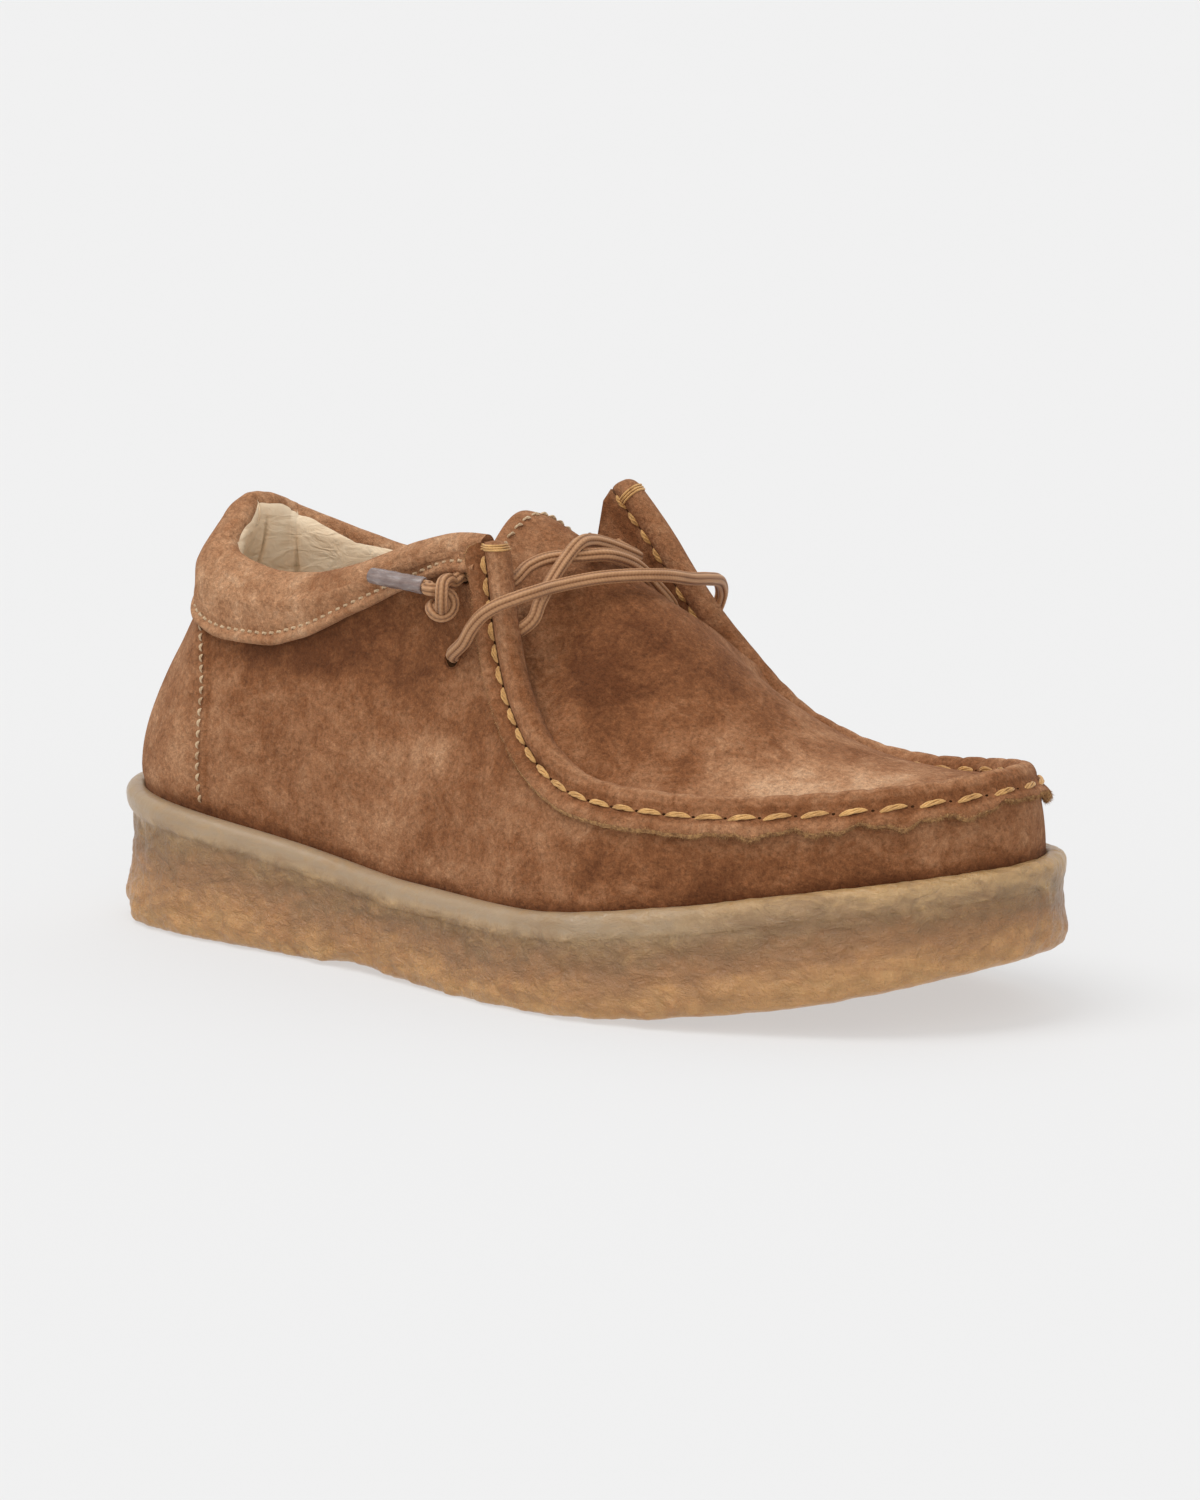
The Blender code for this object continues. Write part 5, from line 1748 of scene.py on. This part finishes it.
def flange_rows(end, ends, toe, tip):
    """The flange, from the stitches down to its bevelled raw edge and back underneath."""
    s = STATIONS
    waves = wave(s.along, LONG_WAVE, 0.7) + 0.5 * wave(s.along, SHORT_WAVE)
    ragged = roughness_at(np.stack([s.along, 0 * s.along, 0 * s.along], 1), 0.0022, 21)
    width = RAW_EDGE * (1 + 0.10 * (1 - toe)) + toe * WAVE_WIDTH * waves + CRUMB_WIDTH * ragged
    width = width * (1 - TIP_NARROWING * tip)
    lift = toe * (0.00035 + 0.00030 * wave(s.along, LONG_WAVE, 2.2)) * (1 - tip) - 0.0007 * tip
    lift = lift + 0.0009 * bell(end, 0, 0.010) + 0.0001 * ragged
    holes = near_holes(0.0010)
    rows = []
    for row in FLANGE_ROWS:
        reach = row.share * width * (0.35 + 0.65 * ends)
        uv = s.uv + s.away * reach[:, None]
        out = row.out * (0.4 + 0.6 * ends) * (1 + TIP_RISE * tip) + lift * row.share**2
        out = out - HOLE_DIP * holes * (1 - row.share) * (row.out > 0.0003)
        rows.append(wall(uv[:, 0], uv[:, 1], out))
    return rows


def roll_rows(ends, toe):
    """The roll, from the stitches over its top and in behind it, pulled in a little at each hole."""
    s = STATIONS
    on_apron = smoothstep(*ON_APRON, s.past)
    wide = ROLL_WIDTH * (0.50 + 0.50 * ends)
    pucker = 1 - (0.05 + 0.05 * toe) * near_holes(0.0013)
    height = EYESTAY_ROLL + (ROLL_HEIGHT - EYESTAY_ROLL) * on_apron
    high = height * (0.55 + 0.45 * ends) * pucker * (1 + 0.05 * roughness_at(s.base, 0.012, 17, 2))
    rows = []
    for angle in np.radians(ROLL_ANGLES):
        reach = wide / 2 * (1 - math.cos(angle))
        rise = high * math.sin(angle) ** 0.85
        rows.append(s.base + s.across * reach[:, None] + s.up * rise[:, None])
    for share, angle in zip(np.linspace(0, 1, len(INNER_ANGLES)), np.radians(INNER_ANGLES)):
        under = (wide - 0.0002 - 0.0044 * share)[:, None]
        tucked_in = s.base + s.across * under - s.up * (0.0008 + 0.0007 * share)
        reach = wide / 2 * (1 - math.cos(angle))
        bulge = (WALL + INNER_ROLL * pucker * ends) * abs(math.sin(angle)) ** 0.7
        rounded = s.base + s.across * reach[:, None] - s.up * bulge[:, None]
        rows.append(rounded * (1 - on_apron)[:, None] + tucked_in * on_apron[:, None])
    return rows


def make_seam():
    """The raised seam with its raw edge. Returns its points, by row across it and station along it."""
    s = STATIONS
    end = np.minimum(s.along, s.along[-1] - s.along)
    ends = np.sqrt(np.clip(1 - (1 - np.clip(end / SEAM_END, 0, 1)) ** 2, 0, 1))
    toe = smoothstep(*TOE_PART, s.past)
    tip = bell(s.along, s.along[int(np.argmax(s.past))], TIP_REACH)
    grid = np.array(flange_rows(end, ends, toe, tip) + roll_rows(ends, toe))
    tone = np.zeros(grid.shape[:2])
    groove = len(FLANGE_ROWS)
    # Painted shade in the groove at the stitches, and a painted highlight on the roll's top
    tone[groove - 3 : groove + 2] -= SEAM_SHADE_AND_HIGHLIGHT
    tone[groove + 5 : groove + 9] += SEAM_SHADE_AND_HIGHLIGHT
    body = Body()
    first, last = RAW_ROWS
    body.grid(np.concatenate([grid[last - 1 :], grid[:1]]), tone=np.concatenate([tone[last - 1 :], tone[:1]]))
    # The flange's underside, against the wall, is darkened with painted shade
    body.grid(grid[: first + 1], tone=-0.5)
    body.grid(grid[first:last], look=1, tone=0.0)
    body.close(grid[:, 0], tone=0.0)
    body.close(grid[::-1, -1], tone=0.0)
    body.make("apron_seam", [SUEDE, RAW], node="upper", slot="suede")
    return grid


# Places inside the roll: how far in from the stitches and up at its foot on the apron, and how far in and
# down behind it beside the throat
Inside = namedtuple("Inside", "foot_in foot_up behind_in behind_down")
STITCH_INSIDE = Inside(ROLL_WIDTH + 0.0001, 0.0010, 0.0004, WALL + 0.0004)
HOLE_INSIDE = Inside(ROLL_WIDTH - 0.0002, 0.0009, 0.0006, WALL)
STITCH_OUT = 0.00125
HOLE_OUT = 0.00072
ROW_AWAY = 0.0003
STITCH_SLANT = 0.0009
GOLD_STITCH = Stitch(0.00040, 0.00040, 0.00050, 0.00030, 4, 0.6)
HOLE_SIZE = (0.00045, 0.00030, 0.00018)


def outside_roll(at, away, out):
    """Places on the flange: at distances along the seam, away from its line, and out of the wall."""
    uv = at_seam(STATIONS.uv, at) + at_seam(STATIONS.away, at) * away[:, None]
    return wall(uv[:, 0], uv[:, 1], np.full(len(at), out))


def inside_roll(at, inside):
    base, across, up = (at_seam(values, at) for values in (STATIONS.base, STATIONS.across, STATIONS.up))
    hidden = on_wall_part(at_seam(STATIONS.past, at))
    foot = base + across * inside.foot_in + up * inside.foot_up
    behind = base + across * inside.behind_in - up * inside.behind_down
    return foot * (1 - hidden) + behind * hidden


def make_seam_stitches():
    """Two rows of golden stitches, on the flange and inside the roll."""
    past = at_seam(STATIONS.past, STITCHES)
    lengths = np.minimum(STITCH_LENGTH, STITCH_SHARE * PITCH(past))
    toe = smoothstep(*TOE_PART, past)
    outer, inner = [], []
    for sign in (-0.5, 0.5):
        at = STITCHES + sign * lengths
        outer.append(outside_roll(at, ROW_AWAY - sign * STITCH_SLANT * toe, STITCH_OUT))
        inner.append(inside_roll(at, STITCH_INSIDE))
    up, across = at_seam(STATIONS.up, STITCHES), at_seam(STATIONS.across, STITCHES)
    hidden = on_wall_part(past)
    outer_ups = unit(at_seam(STATIONS.normal, STITCHES) + up)
    inner_ups = unit((up * 0.45 + across) * (1 - hidden) - up * hidden)
    body = Body()
    for (starts, ends), ups in ((outer, outer_ups), (inner, inner_ups)):
        add_strands(body, starts, ends, ups, GOLD_STITCH)
    body.make("seam_stitches", [GOLD], node="upper", slot="cord")


def make_seam_holes():
    """Dark beads of painted shade in the holes between the stitches of both rows."""
    along = unit(at_seam(np.gradient(STATIONS.base, axis=0), HOLES))
    outer = outside_roll(HOLES, np.full(len(HOLES), ROW_AWAY), HOLE_OUT)
    inner = inside_roll(HOLES, HOLE_INSIDE)
    body = Body()
    add_beads(body, outer, along, at_seam(STATIONS.normal, HOLES), HOLE_SIZE)
    add_beads(body, inner, along, at_seam(STATIONS.up, HOLES), HOLE_SIZE)
    body.make("seam_hole_shade", [HOLE_SHADE], node="upper", slot="cord")


# Where the tacks wrap round the roll, from the top end of each eyestay
TACKS = {"lateral": (0.0004, 0.0010, 0.0016), "medial": (0.0030, 0.0037, 0.0044)}
TACK_TILT = 0.0012
TACK_CLEARANCE = 0.00016
TACK_RADIUS = 0.00028


def make_tacks(seam_grid):
    """A few turns of golden thread round the top of each rolled edge."""
    body = Body()
    last = STATIONS.along[-1]
    ring = seam_grid[len(FLANGE_ROWS) - 2 :]
    for place in [*TACKS["lateral"], *(last - tack for tack in TACKS["medial"])]:
        shifts = np.linspace(0, TACK_TILT if place < last / 2 else -TACK_TILT, len(ring))
        line = np.array([at_seam(row, [place + shift])[0] for row, shift in zip(ring, shifts)])
        out = unit(line - line.mean(0))
        add_tube(body, smooth_line(line + out * TACK_CLEARANCE, 0.0005), TACK_RADIUS, sides=8)
    body.make("eyestay_tacks", [GOLD], node="upper", slot="cord")


# Plug and tongue


ACROSS = 56
APRON_RUNGS = 170
TONGUE_RUNGS = 76
PLUG_THICKNESS = 0.0022
PLUG_WAVE = 0.00030
# The plug ends under the roll: how far short of its inner foot, how far above the stitches' line, and how
# far short of the tip
PLUG_UNDER = 0.0010
PLUG_ABOVE = 0.0002
PLUG_BEFORE_TIP = 0.0004
# Darker and lighter places of the plug and the tongue. The dark strips beside the lateral roll are painted
# shade from the roll.
PLUG_TONE_AND_SHADE_PATCHES = table(
    "x y reach_x reach_y tone",
    (0.028, -0.010, 0.014, 0.014, -0.6),
    # Painted shade beside the lateral roll
    (0.024, -0.022, 0.012, 0.007, -0.9),
    (0.050, -0.027, 0.016, 0.004, -0.6),
    (0.052, -0.006, 0.018, 0.012, -0.8),
    (0.084, -0.020, 0.023, 0.012, 1.2),
    (0.062, -0.028, 0.012, 0.006, 0.2),
    (0.100, -0.006, 0.018, 0.012, 0.6),
    (0.070, 0.022, 0.014, 0.008, -0.3),
)


def crown(share):
    """The apron's section between its edges: steep at the sides, easing into a valley at the seam."""
    arch = 1 - (2 * share - 1) ** 2
    return 0.6 * arch + 0.4 * np.sin(np.pi * share) ** 2


def arched(left, right):
    """A rung from a left to a right point, arched up to the ridge."""
    shares = np.arange(ACROSS + 1) / ACROSS
    points = left + (right - left) * shares[:, None]
    height = RIDGE_HEIGHT((left[0] + right[0]) / 2) - (left[2] + right[2]) / 2
    points[:, 2] += max(height, 0) * crown(shares)
    return points


def tucked(side):
    """The line along which the plug passes under the roll, from the throat to the tip."""
    s = STATIONS
    half = int(np.argmax(s.past))
    chosen = np.arange(half + 1) if side == "lateral" else np.arange(len(s.along) - 1, half - 1, -1)
    line = s.base + s.across * (ROLL_WIDTH - PLUG_UNDER) + s.up * PLUG_ABOVE
    # np.interp needs places that rise all the way
    past = s.past[chosen] + np.arange(len(chosen)) * 1e-9
    return along_line(np.linspace(0, past.max() - PLUG_BEFORE_TIP, APRON_RUNGS), past, line[chosen])


def plug_grid():
    """Rungs across plug and tongue, from the tongue's top to the tip."""
    apron = np.array([arched(left, right) for left, right in zip(tucked("lateral"), tucked("medial"))])
    shares = np.linspace(0, 1, TONGUE_RUNGS)
    rungs = []
    for share in shares:
        ends = []
        for side, prefix in (("lateral", ""), ("medial", "medial_")):
            x = column(TONGUE_EDGES, "share", prefix + "x")(share)
            z = column(TONGUE_EDGES, "share", prefix + "z")(share)
            clear = column(TONGUE_EDGES, "share", "clearance")(share)
            u, h = on_wall(side, x, z)
            ends.append(wall(u, h, -(WALL + clear)))
        rungs.append(arched(*ends))
    tongue = np.array(rungs)
    own = smoothstep(0, THROAT_BLEND, shares)[:, None, None]
    tongue = tongue * own + (apron[0] + tongue - tongue[0]) * (1 - own)
    bow = TONGUE_BOW * np.sin(np.pi * np.arange(ACROSS + 1) / ACROSS)
    tongue[-1, :, 0] -= bow
    tongue[-2, :, 0] -= 0.4 * bow
    return np.concatenate([tongue[:0:-1], apron])


def make_plug():
    """The apron's plug and the tongue, one sheet of suede on cream leather."""
    grid = plug_grid()
    normals = grid_normals(grid)
    normals *= np.sign(normals[..., 2].mean())
    x, y = grid[..., 0], grid[..., 1]
    away_from_edge = np.sin(np.pi * np.arange(ACROSS + 1) / ACROSS) ** 0.5
    relief = PLUG_WAVE * roughness_at(grid, 0.020, 31, 2) * away_from_edge
    outer = grid + normals * relief[..., None]
    inner = grid - normals * PLUG_THICKNESS
    tone = np.zeros(x.shape)
    for patch in PLUG_TONE_AND_SHADE_PATCHES:
        tone += patch.tone * bell(x, patch.x, patch.reach_x) * bell(y, patch.y, patch.reach_y)
    body = Body().sheet(outer, inner, looks=(0, 1, 0), tone=tone)
    body.make("plug_and_tongue", [SUEDE, LINING], node="tongue", slot="suede")
    return grid, normals


# Collar and lining


COLLAR_SECTIONS = 300
COLLAR_AROUND = 64
COLLAR_TONE = 0.66
COLLAR_WRINKLE = 0.00028
# The height above the lip at which lengths round the collar are measured
RIM_HEIGHT = 0.06
# The pad's thickness where the collar is full and at its two ends, and the length over which it thins
PAD = 0.0016
PAD_BY_DEPTH = 0.10
PAD_END = 0.0010
PAD_THINNING = 0.022
LEAST_DEPTH = 0.006


def collar_stops(reach):
    """(side, u) of each section, from the lateral end round the heel to the medial end."""
    ends = {side: share_at(side, reach[side]) for side in SIDES}
    half = COLLAR_SECTIONS // 2
    stops = [("lateral", u) for u in np.linspace(ends["lateral"], 0, half)]
    return stops + [("medial", u) for u in np.linspace(1, ends["medial"], half)[1:]]


def collar_pad(side, u, full):
    """The collar's top, its lower edge, the depth between them and how far its pad stands out."""
    top = collar_height(side, u, "top")
    edge = collar_height(side, u, "edge")
    depth = max(top - edge, LEAST_DEPTH)
    return top, edge, depth, (PAD + PAD_BY_DEPTH * depth) * full + PAD_END * (1 - full)


# How high above the collar's lower edge its stitches lie, and where the wall's slope under them is taken
COLLAR_STITCH_RISE = 0.0027
COLLAR_STITCH_BASE = 0.0026


def collar_stitch_place(edge, pad):
    """(height, out) of the stitches above the collar's lower edge."""
    return edge + COLLAR_STITCH_RISE, 0.0017 + 0.10 * pad


def collar_section(side, u, full):
    """One section of the padded cuff, folded over the wall's top: (height, out) pairs. The raw lower edge
    stands below its stitches, where the pad is pulled in."""
    top, edge, depth, pad = collar_pad(side, u, full)
    return (
        (edge + 0.0002, 0.0005),
        (edge - 0.0003, 0.0014),
        (edge, 0.0025),
        (edge + 0.0012, 0.0029),
        collar_stitch_place(edge, pad),
        (edge + 0.0042, 0.0016 + 0.32 * pad),
        (edge + 0.28 * depth + 0.001, 0.0011 + 0.62 * pad),
        (edge + 0.55 * depth, pad + 0.0006),
        (top - 0.0062, 0.82 * pad + 0.0002),
        (top - 0.0030, 0.50 * pad),
        (top - 0.0010, -0.0004),
        (top, -0.0022),
        (top - 0.0004, -0.0040),
        (top - 0.0020, -0.0052),
        (top - 0.0040, -0.0052),
        (top - 0.0060, -0.0040),
        (top - 0.0060, -0.0010),
    )


def round_heel(stops):
    """The distance round the heel to each stop."""
    return distances(np.array([wall(u, RIM_HEIGHT) for _, u in stops]))


def collar_full(stops):
    """1 where the cuff is fully padded, easing to 0 at its two ends under the eyestays."""
    along = round_heel(stops)
    return smoothstep(0.0, PAD_THINNING, np.minimum(along, along[-1] - along))


def make_collar():
    """The padded cuff, one closed form folded over the wall's top."""
    stops = collar_stops(COLLAR_END)
    shares = np.linspace(0, 1, COLLAR_AROUND, endpoint=False)
    rings = []
    for (side, u), full in zip(stops, collar_full(stops)):
        at, _ = closed_curve(collar_section(side, u, full))
        height, out = at(shares).T
        rings.append(wall(np.full(COLLAR_AROUND, u), height, out))
    grid = np.array(rings)
    normals = grid_normals(grid, closed=True)
    centre = grid.mean(1, keepdims=True)
    normals *= np.sign(((grid - centre) * normals).sum(-1).mean())
    grid = grid + normals * (COLLAR_WRINKLE * roughness_at(grid, 0.013, 41))[..., None]
    body = Body()
    body.grid(grid, closed=True, tone=COLLAR_TONE)
    body.close(grid[0], tone=0.0)
    body.close(grid[-1], tone=0.0)
    collar = body.make("collar_cuff", [SUEDE], node="collar", slot="suede")


LINING_ROWS = 44
# The lining's creases, by distance from the heel's middle along the rim
FOLDS = table(
    "offset slant depth",
    (-0.050, 0.004, 0.5),
    (-0.034, -0.002, 1.0),
    (-0.017, -0.016, 1.0),
    (0.010, -0.010, 0.35),
    (0.024, -0.012, 0.30),
    (0.048, 0.004, 0.4),
)
# A crease's half width and depth, and the soft fold before it and trough behind it
FOLD_WIDTH = 0.0009
CREASE_DEPTH = 0.0014
Swell = namedtuple("Swell", "offset reach rise")
SWELLS = (Swell(0.0040, 0.0034, 0.0010), Swell(-0.0030, 0.0030, -0.0008))
LINING_PUFF = 0.0005
LINING_THICKNESS = 0.0004
# A place inside the shoe, which the lining faces
INSIDE_SHOE = (-0.07, 0.0, 0.08)


def lining_section(side, u):
    """The lining at u, from under the collar's rim down to the footbed."""
    top = collar_height(side, u, "top")
    edge = collar_height(side, u, "edge")
    depth = top - edge
    foot = GAP - RECESS_DEPTH + INSOLE_THICKNESS - 0.0004
    places = np.array(
        (
            (top - 0.0014, -0.0046),
            (top - 0.0024, -0.0056),
            (top - 0.0040, -0.0060),
            (top - 0.45 * depth - 0.001, -0.0056),
            (top - 0.85 * depth - 0.001, -0.0042),
            (top - 1.2 * depth - 0.002, -WALL - 0.0008),
            (0.45 * (edge + foot), -WALL - 0.0004),
            (foot, -WALL - 0.0004),
        )
    )
    steps = distances(places)
    fine = np.linspace(0, steps[-1], LINING_ROWS)
    height, out = (curve(steps, places[:, k])(fine) for k in range(2))
    return wall(np.full(LINING_ROWS, u), height, out)


def lining_folds(along):
    """How far the creases stand in by section and row, and how much painted shade darkens each."""
    along = along[:, None]
    down = np.linspace(0, 1, LINING_ROWS)[None]
    swells, creases = 0.0, 0.0
    for fold in FOLDS:
        middle = along[-1] / 2 + fold.offset + fold.slant * down
        creases = creases - fold.depth * bell(along, middle, FOLD_WIDTH)
        for swell in SWELLS:
            swells = swells + swell.rise * fold.depth * bell(along, middle + swell.offset, swell.reach)
    lasting = smoothstep(0.02, 0.12, down) * (1 - smoothstep(0.45, 0.8, down))
    return (swells + CREASE_DEPTH * creases) * lasting, creases * lasting


def make_lining():
    """The cream leather inside, from just under the collar's rim to the footbed."""
    stops = collar_stops(LINING_END)
    grid = np.array([lining_section(side, u) for side, u in stops])
    normals = grid_normals(grid)
    normals *= np.sign((normals * (INSIDE_SHOE - grid)).sum(-1).mean())
    folds, creases = lining_folds(round_heel(stops))
    puffs = LINING_PUFF * roughness_at(grid, 0.014, 51, 2)
    outer = grid + normals * (folds + puffs)[..., None]
    inner = grid - normals * LINING_THICKNESS
    # Painted light and shade: lighter on the swells, darker in the troughs and much darker in the creases
    tone = np.clip(folds / 0.0030, -0.3, 0.3) + 1.6 * creases
    Body().sheet(outer, inner, tone=tone).make("collar_lining", [LINING], node="collar", slot="lining")


# Fine stitches


StitchRow = namedtuple("StitchRow", "pitch length slant")
COLLAR_ROW = StitchRow(0.0026, 0.0017, 0.0003)
HEEL_ROW = StitchRow(0.0028, 0.0020, 0.0004)
TONGUE_ROW = StitchRow(0.0036, 0.0024, 0.0009)
CREAM_STITCH = Stitch(0.00028, 0.00030, 0.00022, 0.00029, 2, 0.5)
TONGUE_STITCH = Stitch(0.00024, 0.00030, 0.00022, 0.00029, 2, 0.5)
# The heights between which the heel strip is stitched
HEEL_ROW_HEIGHTS = (0.001, 0.052)
# How far in from each side of the tongue its row of stitches ends, in points of its grid
TONGUE_ROW_INSET = 4


def add_row(body, line, ups, row, kind=CREAM_STITCH):
    """A row of short stitches along a line on a surface."""
    along = distances(line)
    places = np.arange(row.pitch, along[-1] - row.pitch / 2, row.pitch)
    middle_ups = unit(along_line(places, along, ups))
    tangent = unit(along_line(places, along, np.gradient(line, axis=0)))
    aside = np.cross(tangent, middle_ups) * row.slant / 2
    starts = along_line(places - row.length / 2, along, line) - aside
    ends = along_line(places + row.length / 2, along, line) + aside
    add_strands(body, starts, ends, middle_ups, kind)


def make_fine_stitches():
    """The cream stitches above the collar's lower edge and along the heel strip."""
    body = Body()
    stops = collar_stops(COLLAR_END)
    line, ups = [], []
    for (side, u), full in zip(stops, collar_full(stops)):
        _, edge, _, pad = collar_pad(side, u, full)
        height, out = collar_stitch_place(edge, pad)
        line.append(wall(u, height, out))
        ups.append(wall_normal(u, edge + COLLAR_STITCH_BASE))
    add_row(body, np.array(line), np.array(ups), COLLAR_ROW)
    for side in SIDES:
        heights = np.linspace(*HEEL_ROW_HEIGHTS, 80)
        place = np.array([wall_share(side, x, h) for x, h in zip(HEEL_SEAM(heights), heights)])
        line = wall(place, heights, np.full(len(heights), STRIP_STEP + 0.0001))
        add_row(body, line, wall_normal(place, heights), HEEL_ROW)
    body.make("fine_stitches", [CREAM], node="upper", slot="cord")


def make_tongue_stitches(grid, normals):
    """The cream stitches along the tongue's rounded top."""
    body = Body()
    chosen = slice(TONGUE_ROW_INSET, -TONGUE_ROW_INSET)
    top = grid[2, chosen] * 0.6 + grid[3, chosen] * 0.4
    up = normals[2, chosen]
    add_row(body, top + up * 0.0002, up, TONGUE_ROW, TONGUE_STITCH)
    body.make("tongue_stitches", [CREAM], node="tongue", slot="cord")


# Loose fibres at the raw edges


FIBRES_PER_STATION = 26
FIBRE_SEED = 7
FIBRE_LENGTHS = (0.0003, 0.0012)
FIBRE_HALF_WIDTH = 0.00006
FIBRE_SCATTER = 0.55
# Between the eyestays and the toe the fibres grow denser and longer, from these shares of the toe's
FIBRE_COUNT_SHARE = 0.6
FIBRE_LENGTH_SHARE = 0.55


def make_fibres(seam_grid):
    """Thin triangles that stand out of the flange's raw edge."""
    rng = np.random.default_rng(FIBRE_SEED)
    first, last = RAW_ROWS
    toe = smoothstep(0.020, 0.080, STATIONS.past)
    starts, ends = [], []
    for i, near_toe in enumerate(toe):
        count = int(FIBRES_PER_STATION * (FIBRE_COUNT_SHARE + (1 - FIBRE_COUNT_SHARE) * near_toe))
        rows = rng.uniform(first - 0.5, last, count)
        low = np.clip(rows.astype(int), 0, len(seam_grid) - 2)
        share = (rows - low)[:, None]
        place = seam_grid[low, i] * (1 - share) + seam_grid[low + 1, i] * share
        outwards = unit(seam_grid[5, i] - seam_grid[1, i])
        aim = outwards + rng.normal(0, FIBRE_SCATTER, (count, 3))
        reach = rng.uniform(*FIBRE_LENGTHS, count)
        reach = reach * (FIBRE_LENGTH_SHARE + (1 - FIBRE_LENGTH_SHARE) * near_toe)
        starts.append(place)
        ends.append(place + unit(aim) * reach[:, None])
    starts, ends = np.concatenate(starts), np.concatenate(ends)
    count = len(starts)
    aside = unit(np.cross(ends - starts, rng.normal(0, 1, (count, 3)))) * FIBRE_HALF_WIDTH
    body = Body()
    body.points.append(np.stack([starts - aside, starts + aside, ends], 1).reshape(-1, 3))
    body.faces.append(np.arange(3 * count).reshape(-1, 3))
    body.looks.append(np.zeros(count, int))
    body.count = 3 * count
    body.make("raw_fibres", [RAW], node="upper", slot="suede")


make_camera()
make_lace()
for end_side in SIDES:
    make_knot(end_side)
make_studio()
make_sole()
make_footbed()
make_quarters()
SEAM_GRID = make_seam()
make_seam_stitches()
make_seam_holes()
make_tacks(SEAM_GRID)
PLUG_GRID, PLUG_NORMALS = make_plug()
make_collar()
make_lining()
make_fine_stitches()
make_tongue_stitches(PLUG_GRID, PLUG_NORMALS)
make_fibres(SEAM_GRID)
